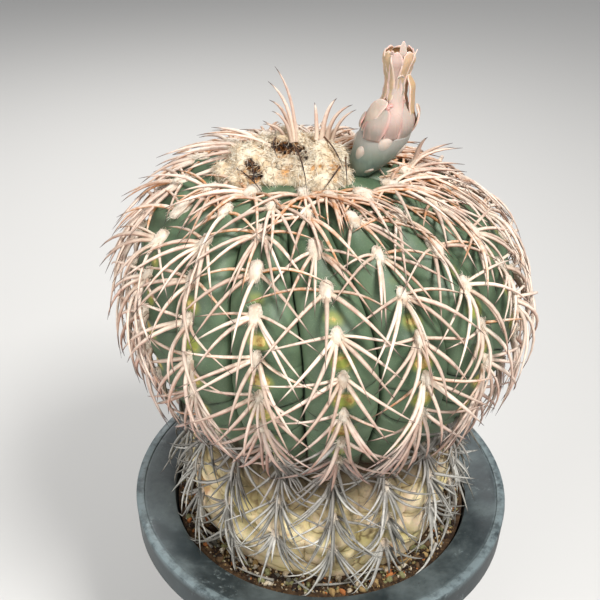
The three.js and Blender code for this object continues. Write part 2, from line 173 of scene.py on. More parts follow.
# How far a spine keeps off the stem, more so with each point, and off what it rests on
STEM_CLEARANCE = 0.8
STEM_CLEARANCE_STEP = 0.4
REST_CLEARANCE = 0.3
# The thatch leaves out these x at the front, and reaches further down from this x on
THATCH_GAP = (-27, -9)
THATCH_WIDENS = 8
THATCH_SPINES = 165
FALLEN_SPINES = 34
FRINGE_FIBRES = 62
HAIR_SIDES = 3

# Crown wool: centre x, y, radius and height of each tuft, and the height of its foot
WOOL_FOOT = STEM_TOP + 0.4
WOOL_TUFTS = [
    (-17, 0, 15, 4.5), (-30.5, -4.5, 10, 11.5), (-24, -9, 6.5, 7), (-36, 3, 6, 8),
    (-3.5, -6, 9.5, 13), (0.5, 0, 7, 10.5), (-9, -11, 6.5, 7.5), (-19, 12, 8, 11),
    (-11, 14, 6, 9), (-27, 10, 6.5, 8.5), (4.6, 4, 3.4, 7),
    (-3, -12, 7.5, 6.5), (3.5, -9, 5, 5), (-33, -11, 7, 5), (-40, -6, 5.5, 5),
]
WOOL_STRANDS = 5200
WOOL_VOXEL = 0.75

# Flower: points on its axis, then its radius at heights above the rim
FLOWER_AXIS = [
    (11.5, -1.5, 163), (17.8, -1.8, 174), (21.2, -2, 184),
    (22.8, -2.4, 195), (23.2, -2.8, 204), (23.6, -3, 217),
]
TUBE_OUTLINE = [(163, 4.6), (167, 6.9), (171, 8.6), (175, 9.7), (178, 10), (181.2, 9.9)]
CORE_OUTLINE = [
    (179, 9.2), (184, 9.2), (188, 8.3), (191, 6.6), (194, 4.3), (197, 3.2), (205, 3.0), (211, 2.6),
]
FLOWER_BOUNDS = TUBE_OUTLINE + [(188, 9), (194, 5), (217, 6)]
FLOWER_FOOT = 160
FLOWER_TOP = 217
FLOWER_CLEARANCE = 2.2


# ---------------------------------------------------------------- small helpers

def srgb(red, green, blue):
    """A colour from its 0-255 screen values, as the linear RGBA that the shaders take."""
    def linear(value):
        value /= 255
        return value / 12.92 if value <= 0.04045 else ((value + 0.055) / 1.055) ** 2.4
    return (linear(red), linear(green), linear(blue), 1)


def lerp(start, end, part):
    return start + (end - start) * part


def smoothstep(value, low, high):
    part = np.clip((value - low) / (high - low), 0, 1)
    return part * part * (3 - 2 * part)


def smooth_curve(points, per_span=24):
    """Points on a smooth curve through the given ones, evenly many between each two."""
    points = np.array(points, float)
    padded = np.vstack([points[0], points, points[-1]])
    part = np.linspace(0, 1, per_span, endpoint=False)[:, None]
    spans = []
    for i in range(len(points) - 1):
        before, start, end, after = padded[i:i + 4]
        leave = (end - before) / 2
        arrive = (after - start) / 2
        spans.append(
            start + leave * part
            + (-3 * start + 3 * end - 2 * leave - arrive) * part ** 2
            + (2 * start - 2 * end + leave + arrive) * part ** 3
        )
    return np.vstack([*spans, points[-1:]])


def distances_along(curve):
    """How far each point of a curve is from its start."""
    return np.concatenate([[0], np.cumsum(np.hypot(*np.diff(curve, axis=0).T))])


def radius_on(curve, height):
    """Radius at a height, on a curve of (height, radius)."""
    return float(np.interp(height, curve[:, 0], curve[:, 1]))


def around(radius, azimuth, height):
    """A point at a radius and an azimuth about the pot's axis."""
    return (radius * math.sin(azimuth), -radius * math.cos(azimuth), height)


def link_new(name, data):
    thing = bpy.data.objects.new(name, data)
    bpy.context.scene.collection.objects.link(thing)
    return thing


def add_piece(name, points, faces, material=None, edges=()):
    """A smooth mesh object with its points given in millimetres."""
    mesh = bpy.data.meshes.new(name)
    mesh.from_pydata((np.asarray(points, float) * MM).tolist(), edges, faces)
    mesh.update()
    shade_smooth(mesh)
    if material:
        mesh.materials.append(material)
    return link_new(name, mesh)


def shade_smooth(mesh):
    mesh.polygons.foreach_set("use_smooth", [True] * len(mesh.polygons))


def add_closed_piece(name, points, faces, material=None):
    """A closed piece, with every face turned outwards."""
    piece = add_piece(name, points, faces, material)
    shape = bmesh.new()
    shape.from_mesh(piece.data)
    bmesh.ops.recalc_face_normals(shape, faces=shape.faces)
    shape.to_mesh(piece.data)
    shape.free()
    return piece


def point_values(mesh, name, values):
    """Stores one number, or one vector, for each point of a mesh."""
    values = np.asarray(values, np.float32)
    kind, field = ("FLOAT", "value") if values.ndim == 1 else ("FLOAT_VECTOR", "vector")
    mesh.attributes.new(name, kind, "POINT").data.foreach_set(field, values.ravel())


def apply_modifiers(piece):
    """Keeps what a piece's modifiers make of it as its plain mesh."""
    bpy.context.view_layer.update()
    shaped = piece.evaluated_get(bpy.context.evaluated_depsgraph_get())
    mesh = bpy.data.meshes.new_from_object(shaped)
    piece.modifiers.clear()
    piece.data = mesh


def join_pieces(name, parts):
    """Joins plain meshes into the first one."""
    with bpy.context.temp_override(
        active_object=parts[0], selected_objects=parts, selected_editable_objects=parts,
    ):
        bpy.ops.object.join()
    parts[0].name = name
    parts[0].data.name = name
    return parts[0]


def finish_piece(piece, node=None):
    """Puts a finished piece on the plant's one body, in place of its CAD node if it has one."""
    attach(piece, "root")
    if node:
        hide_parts(node)


def grid_faces(rows, columns, closed):
    """Quads of a grid of points, row by row. A closed grid joins its last column to its first."""
    faces = []
    for here in range(0, (rows - 1) * columns, columns):
        for column in range(columns if closed else columns - 1):
            beside = (column + 1) % columns
            faces.append((here + column, here + beside, here + columns + beside, here + columns + column))
    return faces


def capped_faces(rows, columns):
    """Faces of closed rings, whose last two points are the middles of the first and last ring."""
    faces = grid_faces(rows, columns, True)
    middle = rows * columns
    last = middle - columns
    for column in range(columns):
        beside = (column + 1) % columns
        faces.append((middle, beside, column))
        faces.append((middle + 1, last + column, last + beside))
    return faces


def lathe(outline, columns):
    """Points and faces of a closed body turned about Z. The outline starts and ends on the axis."""
    angles = np.linspace(0, 2 * math.pi, columns, endpoint=False)
    points = [around(radius, angle, height) for radius, height in outline[1:-1] for angle in angles]
    points += [(0, 0, outline[0][1]), (0, 0, outline[-1][1])]
    return points, capped_faces(len(outline) - 2, columns)


# ---------------------------------------------------------------- node trees

# The sockets of Blender's Mix node that take and give colours
MIX_FACTOR, MIX_FIRST, MIX_SECOND, MIX_RESULT = 0, 6, 7, 2
# The kind of socket that a group's input gets from its default value
SOCKET_KINDS = {float: "Float", int: "Int", tuple: "Color", type(None): "Geometry"}


class Field:
    """A number, colour or vector that varies over a surface: the output socket of a node."""

    def __init__(self, tree, socket):
        self.tree = tree
        self.socket = socket

    def math(self, operation, *others):
        inputs = dict(enumerate((self, *others)))
        return add_node(self.tree, "ShaderNodeMath", inputs, operation=operation)

    __add__ = __radd__ = partialmethod(math, "ADD")
    __sub__ = partialmethod(math, "SUBTRACT")
    __mul__ = __rmul__ = partialmethod(math, "MULTIPLY")
    __truediv__ = partialmethod(math, "DIVIDE")
    __pow__ = partialmethod(math, "POWER")

    def __neg__(self):
        return self * -1

    def __rsub__(self, other):
        return self * -1 + other

    def limited(self):
        """The number kept between 0 and 1."""
        return self.math("MAXIMUM", 0).math("MINIMUM", 1)

    def bell(self, centre, width):
        """1 at the centre, falling to almost 0 two widths away."""
        away = (self - centre) / width
        return (-(away * away)).math("EXPONENT")

    def ramp(self, low, high):
        """0 below low, 1 above high, smooth between them."""
        inputs = dict(enumerate((self, low, high, 0, 1)))
        return add_node(self.tree, "ShaderNodeMapRange", inputs, interpolation_type="SMOOTHSTEP")

    def stretched(self, factors):
        """The vector with its own factor in each direction."""
        return add_node(self.tree, "ShaderNodeVectorMath", {0: self, 1: factors}, operation="MULTIPLY")

    def scaled(self, factor):
        """The vector times one number."""
        return add_node(self.tree, "ShaderNodeVectorMath", {0: self, "Scale": factor}, operation="SCALE")

    def noise(self, scale, detail, roughness):
        """Soft noise at this place."""
        inputs = {"Vector": self, "Scale": scale, "Detail": detail, "Roughness": roughness}
        return add_node(self.tree, "ShaderNodeTexNoise", inputs)


def plug(tree, slot, value):
    """Joins a field to a node's socket, or sets the socket to a plain value."""
    if isinstance(value, Field):
        tree.links.new(value.socket, slot)
    else:
        slot.default_value = value


def add_node(tree, kind, inputs=None, output=0, **settings):
    """Adds a node, with its inputs given by name or number, and returns one of its outputs."""
    node = tree.nodes.new(kind)
    for name, value in settings.items():
        setattr(node, name, value)
    for key, value in (inputs or {}).items():
        plug(tree, node.inputs[key], value)
    return Field(tree, node.outputs[output])


def blend_colors(tree, mask, first, second, mode="MIX"):
    """The second colour over the first. A plain colour is given by its 0-255 screen values."""
    first, second = (color if isinstance(color, Field) else srgb(*color) for color in (first, second))
    return add_node(
        tree, "ShaderNodeMix", {MIX_FACTOR: mask, MIX_FIRST: first, MIX_SECOND: second}, MIX_RESULT,
        data_type="RGBA", blend_type=mode,
    )


def object_place(tree):
    return add_node(tree, "ShaderNodeTexCoord", output="Object")


def facing_up(tree):
    """1 where the surface looks straight up, and -1 where it looks straight down."""
    normal = add_node(tree, "ShaderNodeTexCoord", output="Normal")
    return add_node(tree, "ShaderNodeSeparateXYZ", {0: normal}, "Z")


def new_group(kind, name, inputs, result, result_kind):
    """An empty node group with one result, and its inputs, which are given as {name: default}."""
    tree = bpy.data.node_groups.new(name, kind)
    for label, default in inputs.items():
        socket_type = "NodeSocket" + SOCKET_KINDS[type(default)]
        socket = tree.interface.new_socket(name=label, in_out="INPUT", socket_type=socket_type)
        if default is not None:
            socket.default_value = default
    tree.interface.new_socket(name=result, in_out="OUTPUT", socket_type="NodeSocket" + result_kind)
    entry = tree.nodes.new("NodeGroupInput")
    return tree, {label: Field(tree, entry.outputs[label]) for label in inputs}


def close_group(tree, result):
    end = tree.nodes.new("NodeGroupOutput")
    plug(tree, end.inputs[0], result)
    return tree


def use_group(tree, group, **inputs):
    node = tree.nodes.new("ShaderNodeGroup")
    node.node_tree = group
    for label, value in inputs.items():
        plug(tree, node.inputs[label], value)
    return Field(tree, node.outputs[0])


def trunk_folds(place):
    """How far a place is from the nearest fold between the trunk's swollen, flattened bulges."""
    tree = place.tree
    bend = add_node(tree, "ShaderNodeTexNoise", {"Vector": place, "Scale": 52.0, "Detail": 3.0}, "Color")
    bend = bend.stretched((0.03, 0.03, 0.02))
    bent = add_node(tree, "ShaderNodeVectorMath", {0: place, 1: bend}, operation="ADD")
    return add_node(
        tree, "ShaderNodeTexVoronoi", {"Vector": bent.stretched((1, 1, 2.1)), "Scale": 29.0},
        feature="DISTANCE_TO_EDGE",
    )


# ---------------------------------------------------------------- shared surface effects

def make_mottle():
    """Two colours in soft uneven patches."""
    tree, given = new_group(
        "ShaderNodeTree", "mottle",
        {"Scale": 100.0, "Cover": 0.5, "Softness": 0.1, "First": (1, 1, 1, 1), "Second": (0, 0, 0, 1)},
        "Color", "Color",
    )
    patches = object_place(tree).noise(given["Scale"], 5, 0.6)
    edge = 1 - given["Cover"]
    mask = patches.ramp(edge - given["Softness"], edge + given["Softness"])
    return close_group(tree, blend_colors(tree, mask, given["First"], given["Second"]))


def make_speckle():
    """Small round dots, scattered."""
    tree, given = new_group("ShaderNodeTree", "speckle", {"Scale": 900.0, "Size": 0.25}, "Mask", "Float")
    inputs = {"Vector": object_place(tree), "Scale": given["Scale"]}
    distance = add_node(tree, "ShaderNodeTexVoronoi", inputs)
    return close_group(tree, 1 - distance.ramp(given["Size"] * 0.6, given["Size"]))


def make_fine_grain():
    """Height of a fine, slightly pitted skin."""
    sizes = {"Scale": 800.0, "Coarse": 0.5}
    tree, given = new_group("ShaderNodeTree", "fine_grain", sizes, "Height", "Float")
    fine = object_place(tree).noise(given["Scale"], 4, 0.6)
    coarse = object_place(tree).noise(given["Scale"] * 0.2, 2, 0.5)
    return close_group(tree, fine + coarse * given["Coarse"])


MOTTLE = make_mottle()
SPECKLE = make_speckle()
FINE_GRAIN = make_fine_grain()


class Look:
    """A material in the making. Its constant values are set on the shader's own sockets."""

    def __init__(self, name, **fixed):
        self.material = bpy.data.materials.new(name)
        self.material.use_nodes = True
        self.tree = self.material.node_tree
        self.shader = self.tree.nodes["Principled BSDF"]
        for label, value in fixed.items():
            self.shader.inputs[label.replace("_", " ")].default_value = value
        self.place = object_place(self.tree)

    def painted(self, name, output="Fac"):
        """A number, or a vector, stored on the mesh under this name."""
        return add_node(self.tree, "ShaderNodeAttribute", output=output, attribute_name=name)

    def noise(self, scale, detail, roughness, stretch=None):
        place = self.place.stretched(stretch) if stretch else self.place
        return place.noise(scale, detail, roughness)

    def mottle(self, scale, cover, softness, first, second):
        return use_group(
            self.tree, MOTTLE, Scale=scale, Cover=cover, Softness=softness,
            First=srgb(*first), Second=srgb(*second),
        )

    def specks(self, scale, size):
        return use_group(self.tree, SPECKLE, Scale=scale, Size=size)

    def grain(self, scale, coarse):
        return use_group(self.tree, FINE_GRAIN, Scale=scale, Coarse=coarse)

    def layers(self, color, *coats):
        """A colour with others over it, each given with the mask that says how thick it lies."""
        for mask, coat in coats:
            color = blend_colors(self.tree, mask, color, coat)
        return color

    def tinted(self, color, tint):
        return blend_colors(self.tree, 1, color, tint, "MULTIPLY")

    def finish(self, color, height, distance, strength, roughness=None):
        """Joins the colour, the relief and, where it varies, the roughness to the shader."""
        plug(self.tree, self.shader.inputs["Base Color"], color)
        if roughness is not None:
            plug(self.tree, self.shader.inputs["Roughness"], roughness)
        relief = {"Height": height, "Distance": distance * MM, "Strength": strength}
        plug(self.tree, self.shader.inputs["Normal"], add_node(self.tree, "ShaderNodeBump", relief))
        return self.material


# ---------------------------------------------------------------- materials

def make_pot_plastic():
    """Dark plastic with settled dust, scuffs, a worn lip and crumbs of soil."""
    look = Look("pot_plastic", Specular_IOR_Level=0.4)
    dust = facing_up(look.tree).ramp(0.2, 0.9) * look.noise(45, 6, 0.65).ramp(0.35, 0.75) * 0.45
    dust = dust.limited()
    scuffs = look.noise(240, 5, 0.75, (1, 1, 0.5)).ramp(0.54, 0.7) * look.noise(34, 3, 0.5).ramp(0.46, 0.6)
    lip = look.painted("lip_wear") * look.noise(160, 5, 0.7).ramp(0.3, 0.6)
    crumbs = look.specks(420, 0.12) * look.noise(30, 2, 0.5).ramp(0.5, 0.62)
    color = look.layers(
        look.mottle(22, 0.5, 0.25, (31, 40, 43), (48, 59, 62)),
        (dust, (134, 145, 145)),
        (scuffs * 0.6, (150, 162, 162)),
        (lip * 0.75, (126, 140, 142)),
        (crumbs * 0.8, (48, 38, 30)),
    )
    roughness = 0.42 + dust * 0.4 + look.noise(90, 4, 0.6) * 0.15
    return look.finish(color, look.grain(1500, 0.6), 0.08, 0.35, roughness)


def make_soil_ground():
    look = Look("soil", Roughness=0.95, Specular_IOR_Level=0.2)
    base = look.mottle(320, 0.5, 0.2, (44, 32, 24), (84, 64, 44))
    color = look.layers(base, (look.specks(700, 0.3) * 0.5, (132, 104, 70)))
    return look.finish(color, look.grain(900, 1), 0.8, 0.9)


def make_grain_stone():
    """Mixed grit. The tone of each grain picks its colour."""
    look = Look("soil_grit", Roughness=0.85, Specular_IOR_Level=0.3)
    tone = look.painted("grain_tone")
    stones = [
        (0.26, (104, 82, 58)), (0.44, (176, 150, 104)), (0.58, (142, 144, 104)), (0.68, (204, 192, 170)),
        (0.82, (112, 112, 106)), (0.9, (220, 214, 200)), (0.965, (190, 122, 72)),
    ]
    color = look.layers((46, 33, 25), *((tone.math("GREATER_THAN", start), stone) for start, stone in stones))
    color = look.tinted(color, look.mottle(500, 0.5, 0.3, (190, 180, 170), (255, 250, 240)))
    return look.finish(color, look.grain(2200, 0.8), 0.2, 0.7)


def make_stem_skin():
    """Green skin on the globe, corky and yellow on the trunk, with scars under the areoles."""
    look = Look("stem_skin", Specular_IOR_Level=0.4, Subsurface_Scale=0.0015, Subsurface_Weight=0.06)
    groove, distance, chin = (look.painted(name) for name in ("groove", "stem_distance", "chin"))
    side = look.painted("rib_side").math("ABSOLUTE")
    # The crease lines under the areoles, painted dark as shade; they also sink the relief a little
    shaded_creases = look.painted("crease_line").math("FRACT").bell(0.5, 0.028)
    shaded_creases = shaded_creases * distance.ramp(*CREASE_SHADE) * side.ramp(0.08, 0.6)
    scar = chin * ((0.45 + look.noise(260, 5, 0.75)) * (1 + distance.ramp(*RAGGED_SCARS) * 0.42))
    scarred = scar.ramp(0.5, 0.66)
    scars = look.layers(
        look.mottle(420, 0.45, 0.12, (206, 184, 112), (158, 116, 60)),
        (look.noise(130, 3, 0.5).ramp(0.5, 0.6), (140, 148, 66)),
    )
    skin = look.layers(
        look.mottle(38, 0.5, 0.22, (66, 86, 62), (91, 111, 84)),
        (look.specks(1300, 0.3) * 0.2, (130, 152, 112)),
        # painted highlight: paler green on the rib flanks towards the grooves
        (side.ramp(0.5, 0.96) * 0.3, (132, 152, 122)),
        # painted shade: near-black green down the grooves and along the crease lines
        ((groove.ramp(0.3, 1) + shaded_creases).limited() * 0.9, (16, 27, 17)),
        # painted shade: near-black in the grooves low on the globe, where it curves in under itself
        (groove.ramp(0.12, 0.7) * distance.ramp(*UNDERSIDE_SHADE) * 0.88, (12, 16, 10)),
        (scar.ramp(0.12, 0.5) * 0.75, (140, 146, 72)),
        (scarred, scars),
    )
    uneven = look.noise(70, 4, 0.6) - 0.5
    aged = (distance + uneven * 46).ramp(*CORKY_SKIN)
    flakes = look.noise(900, 5, 0.75).ramp(0.5, 0.72)
    folds = trunk_folds(look.painted("flat_place", "Vector"))
    patchy = look.noise(80, 3, 0.6).ramp(0.35, 0.6)
    shade_under_globe = 1 - (distance + uneven * 30).ramp(*TRUNK_SHADE_ENDS)
    neck_shadow = distance.ramp(*NECK_SHADE) * (1 - distance.ramp(*NECK_SHADE_ENDS))
    cork = look.layers(
        look.mottle(75, 0.45, 0.16, (240, 222, 174), (240, 213, 184)),
        (look.noise(40, 3, 0.5).ramp(0.52, 0.66) * 0.4, (208, 196, 116)),
        (look.noise(33, 4, 0.6).ramp(0.6, 0.68) * 0.7, (192, 124, 68)),
        (flakes * 0.4, (246, 234, 204)),
        # painted shade in the folds between the trunk's bulges: olive towards each fold, brown in its bottom
        ((1 - folds.ramp(0, 0.2)) * 0.48, (166, 150, 78)),
        ((1 - folds.ramp(0, 0.035)) * (0.15 + patchy * 0.6), (96, 66, 34)),
        # painted shadow of the globe over the top of the trunk
        (shade_under_globe * 0.68, (92, 66, 38)),
        # painted shade at the neck, between the globe and the trunk
        (neck_shadow * 0.9, (46, 36, 22)),
    )
    height = look.grain(1400, 0.5) * 0.25 + aged * flakes * 0.9 + scarred * 0.6 - shaded_creases * 1.5
    roughness = 0.5 + aged * 0.3 + scarred * 0.25
    return look.finish(look.layers(skin, (aged, cork)), height, 0.35, 0.6, roughness)


def make_spine_horn(name, base, middle, tip, tint_and_shade_colors, aged, tip_start, dim=(206, 196, 190)):
    """Horny spines: pale at the foot, tinted along the length, dark at the tip, and greyer with age.
    Their undersides take the tint colour as painted shade. The tint goes from the first to the second colour
    as they get warmer."""
    look = Look(name, Specular_IOR_Level=0.4)
    along, tone, warmth = (look.painted(label) for label in ("along", "tone", "warmth"))
    tint = look.layers(tint_and_shade_colors[0], (warmth.ramp(0.4, 0.8), tint_and_shade_colors[1]))
    streaks = look.noise(260, 4, 0.65).ramp(0.42, 0.66)
    # Painted shade: the undersides of the spines, facing away from the lights above, take the tint colour
    below = 1 - facing_up(look.tree).ramp(-0.5, 0.55)
    color = look.layers(
        base,
        (along.ramp(0, 0.45), middle),
        (look.painted("age").limited() * 0.85, aged),
        (warmth.ramp(0.55, 1) * 0.3, tint),
        ((streaks * (0.1 + warmth * 0.75)).limited(), tint),
        ((below * (0.35 + warmth * 0.75)).limited(), tint),
        (along.ramp(tip_start, 0.97), tip),
    )
    color = look.tinted(color, look.layers(dim, (tone, (255, 255, 255))))
    return look.finish(color, look.grain(2600, 0.6), 0.12, 0.5, 0.5 + streaks * 0.15)


def make_wool(name, light, dark):
    """Felted wool, rust-coloured and brown where it withers."""
    look = Look(name, Roughness=0.95, Specular_IOR_Level=0.15, Sheen_Weight=0.2, Sheen_Roughness=0.5)
    ragged = (look.noise(420, 5, 0.7) - 0.5) * 0.9
    rust = (look.painted("rust") + ragged).ramp(0.3, 0.75)
    rust = (rust + look.painted("warmth").ramp(0.3, 0.8) * 0.6).limited()
    brown = look.mottle(520, 0.55, 0.12, (150, 100, 52), (40, 28, 22))
    color = look.layers(
        look.mottle(260, 0.45, 0.2, light, dark),
        (look.painted("tone").ramp(0.4, 1) * 0.8, (252, 246, 230)),
        (rust * 0.85, (198, 138, 66)),
        ((look.painted("withered") + ragged).ramp(0.12, 0.4), brown),
    )
    return look.finish(color, look.noise(900, 6, 0.8, (1, 1, 0.35)), 0.7, 0.8)


def make_flower_tube_skin():
    """Blue-green skin that fades towards the mouth, with paler scales."""
    look = Look(
        "flower_tube_skin", Roughness=0.55, Specular_IOR_Level=0.4, Subsurface_Weight=0.08,
        Subsurface_Scale=0.002,
    )
    streaks = look.noise(500, 4, 0.6, (1, 1, 0.15)).ramp(0.45, 0.7)
    height = add_node(look.tree, "ShaderNodeSeparateXYZ", {0: look.place}, "Z")
    mouth = height.ramp((POT_HEIGHT + 171) * MM, (POT_HEIGHT + 181.5) * MM)
    scale_color = look.layers(
        look.mottle(260, 0.4, 0.2, (192, 176, 162), (172, 160, 150)),
        (look.painted("margin").ramp(0.6, 1) * 0.5, (206, 170, 152)),
    )
    color = look.layers(
        look.mottle(120, 0.5, 0.25, (92, 108, 100), (116, 128, 114)),
        (streaks * 0.3, (142, 156, 142)),
        (mouth * 0.8, (158, 150, 142)),
        (look.painted("is_scale"), scale_color),
    )
    return look.finish(color, streaks, 0.1, 0.3)


def make_petal_skin():
    """Thin dry petals: cream, with pink margins, grey-green stripes and tan insides."""
    look = Look(
        "petal_skin", Roughness=0.6, Specular_IOR_Level=0.3, Subsurface_Weight=0.15,
        Subsurface_Scale=0.002,
    )
    veins = look.noise(700, 3, 0.6, (1, 1, 0.08)).ramp(0.48, 0.64)
    color = look.layers(
        look.mottle(150, 0.5, 0.25, (190, 172, 157), (174, 158, 148)),
        (look.painted("cool"), (112, 125, 114)),
        (look.painted("inside"), (188, 150, 98)),
        (veins * 0.35, (164, 148, 134)),
        (look.painted("margin").ramp(0.75, 1) * 0.8, (224, 204, 190)),
        (look.painted("blush"), (202, 130, 124)),
    )
    return look.finish(color, veins, 0.15, 0.4)


POT_PLASTIC = make_pot_plastic()
SOIL_GROUND = make_soil_ground()
GRAIN_STONE = make_grain_stone()
STEM_SKIN = make_stem_skin()
GLOBE_HORN = make_spine_horn(
    "globe_horn", (244, 231, 208), (241, 224, 206), (58, 34, 30),
    ((184, 130, 112), (202, 132, 66)), (176, 160, 154), 0.8,
)
TRUNK_HORN = make_spine_horn(
    "trunk_horn", (178, 172, 162), (204, 201, 192), (84, 80, 76),
    ((80, 77, 74), (104, 90, 82)), (186, 176, 168), 0.85, (140, 138, 132),
)
OLD_HORN = make_spine_horn(
    "old_horn", (92, 62, 40), (58, 42, 34), (30, 24, 22),
    ((44, 32, 26), (96, 62, 36)), (58, 42, 34), 0.6,
)
WOOL = make_wool("wool", (234, 220, 194), (196, 164, 122))
AREOLE_FELT = make_wool("areole_felt", (234, 222, 204), (206, 180, 154))
TUBE_SKIN = make_flower_tube_skin()
PETAL_SKIN = make_petal_skin()


# ---------------------------------------------------------------- growing shapes with node trees

def start_shape_tree(name, sizes):
    """A tree that turns one shape into another, with named sizes."""
    return new_group("GeometryNodeTree", name, {"Shape": None, **sizes}, "Shape", "Geometry")


def end_shape_tree(tree, shape, material):
    smooth = add_node(tree, "GeometryNodeSetShadeSmooth", {0: shape})
    whole = add_node(tree, "GeometryNodeRealizeInstances", {0: smooth})
    return close_group(tree, add_node(tree, "GeometryNodeSetMaterial", {0: whole, "Material": material}))


def stored(tree, name, kind="FLOAT"):
    """A value that the shape's points carry under this name."""
    return add_node(tree, "GeometryNodeInputNamedAttribute", {"Name": name}, data_type=kind)


def store(tree, shape, name, value):
    return add_node(
        tree, "GeometryNodeStoreNamedAttribute", {"Geometry": shape, "Name": name, "Value": value},
        data_type="FLOAT", domain="POINT",
    )


def moved(tree, shape, offset):
    return add_node(tree, "GeometryNodeSetPosition", {"Geometry": shape, "Offset": offset})


def lumpy_ball(tree, roundness, scale, detail, roughness, amount):
    """A ball of radius 1 with lumps, to be placed many times."""
    ball = add_node(tree, "GeometryNodeMeshIcoSphere", {"Radius": 1.0, "Subdivisions": roundness})
    position = add_node(tree, "GeometryNodeInputPosition")
    lumps = position.noise(scale, detail, roughness) - 0.5
    return moved(tree, ball, position.scaled(lumps * amount))


def placed(tree, points, thing, rotation, scale):
    """A copy of the thing on every point."""
    inputs = {"Points": points, "Instance": thing, "Rotation": rotation, "Scale": scale}
    return add_node(tree, "GeometryNodeInstanceOnPoints", inputs)


def random_value(tree, seed, low, high):
    """A random number, or a random vector, for each point."""
    picked = {"ID": add_node(tree, "GeometryNodeInputIndex"), "Seed": seed}
    if isinstance(low, tuple):
        return add_node(
            tree, "FunctionNodeRandomValue", {0: low, 1: high, **picked}, data_type="FLOAT_VECTOR",
        )
    return add_node(tree, "FunctionNodeRandomValue", {2: low, 3: high, **picked}, 1, data_type="FLOAT")


def grow(name, seed, tree, sizes):
    """Runs a tree on a seed object, and keeps the result as the object's plain mesh."""
    modifier = seed.modifiers.new("grow", "NODES")
    modifier.node_group = tree
    for item in tree.interface.items_tree:
        if item.item_type == "SOCKET" and item.in_out == "INPUT" and item.name in sizes:
            modifier[item.identifier] = sizes[item.name]
    apply_modifiers(seed)
    seed.name = name
    seed.data.name = name
    return seed


# ---------------------------------------------------------------- pot and soil

def wall_radius(height):
    return lerp(FOOT_RADIUS, MOUTH_RADIUS + POT_WALL, height / POT_HEIGHT)


def pot_outline():
    """Radius and height from the middle of the foot, up the outside and down into the cup."""
    groove = RIM_RADIUS - LIP_WIDTH
    skirt = RIM_RADIUS - POT_WALL
    brim = POT_HEIGHT - BRIM_DROP
    wall_top = brim - 2 * POT_WALL
    skirt_foot = POT_HEIGHT - SKIRT_HEIGHT
    inner_foot = wall_radius(POT_WALL) - POT_WALL
    foot = [
        (0, 0), (FOOT_RADIUS - FOOT_CHAMFER, 0), (FOOT_RADIUS - 0.6, 0.5),
        (wall_radius(FOOT_CHAMFER), FOOT_CHAMFER),
    ]
    wall = [(wall_radius(height), height) for height in np.linspace(20, wall_top, 8)]
    skirt_and_lip = [
        (wall_radius(wall_top) + 1, wall_top + 0.4), (skirt - 0.7, POT_HEIGHT - 3.6),
        (skirt, POT_HEIGHT - 4.2), (skirt, skirt_foot + 0.4), (skirt + 0.3, skirt_foot),
        (RIM_RADIUS - 0.9, skirt_foot), (RIM_RADIUS - 0.5, skirt_foot + 0.5),
        (RIM_RADIUS - 0.15, POT_HEIGHT - 4), (RIM_RADIUS, POT_HEIGHT - RIM_ROUNDING),
        (RIM_RADIUS - 0.3, POT_HEIGHT - 0.3), (RIM_RADIUS - RIM_ROUNDING, POT_HEIGHT),
    ]
    groove_and_brim = [
        (groove + 0.9, POT_HEIGHT), (groove + 0.4, POT_HEIGHT - 0.15),
        (groove, POT_HEIGHT - GROOVE_DEPTH), (groove - RIM_ROUNDING, POT_HEIGHT - GROOVE_DEPTH - 0.05),
        (groove - 3, POT_HEIGHT - 1.2), (MOUTH_RADIUS + 4, brim + 0.9),
        (MOUTH_RADIUS + RIM_ROUNDING, brim), (MOUTH_RADIUS + 0.3, brim - 0.3),
        (MOUTH_RADIUS, brim - RIM_ROUNDING),
    ]
    cup = [(lerp(MOUTH_RADIUS, inner_foot, part), lerp(brim, POT_WALL, part)) for part in (0.1, 0.4, 0.7)]
    return foot + wall + skirt_and_lip + groove_and_brim + cup + [(inner_foot, POT_WALL), (0, POT_WALL)]


def make_pot():
    pot = add_closed_piece("pot_finish", *lathe(pot_outline(), POT_COLUMNS), POT_PLASTIC)
    cutter = [(0, CUTTER_BOTTOM), (DRAIN_HOLE_RADIUS, CUTTER_BOTTOM), (DRAIN_HOLE_RADIUS, CUTTER_TOP)]
    points, faces = lathe([*cutter, (0, CUTTER_TOP)], DRAIN_HOLE_COLUMNS)
    holes = []
    for i in range(DRAIN_HOLE_COUNT):
        angle = 2 * math.pi * i / DRAIN_HOLE_COUNT
        place = (DRAIN_CIRCLE_RADIUS * math.sin(angle), DRAIN_CIRCLE_RADIUS * math.cos(angle), 0)
        holes.append(add_closed_piece("hole", np.array(points) + place, faces))
        cut = pot.modifiers.new("hole", "BOOLEAN")
        cut.object = holes[-1]
        cut.solver = "EXACT"
    apply_modifiers(pot)
    for hole in holes:
        bpy.data.objects.remove(hole)
    place = np.array([vertex.co for vertex in pot.data.vertices]) / MM
    groove = RIM_RADIUS - LIP_WIDTH
    lip = smoothstep(np.hypot(place[:, 0], place[:, 1]), groove - 0.5, groove + 0.4)
    point_values(pot.data, "lip_wear", lip * smoothstep(place[:, 2], POT_HEIGHT - 2.5, POT_HEIGHT))
    shade_smooth(pot.data)
    pot.data.set_sharp_from_angle(angle=SHARP_EDGE)
    finish_piece(pot, "pot")


def soil_height(x, y):
    """Height of the soil's surface above its mean level."""
    place = Vector((x, y, 0))
    return 1.1 * noise.noise(place * 0.07) + 0.5 * noise.noise(place * 0.3) - 0.2


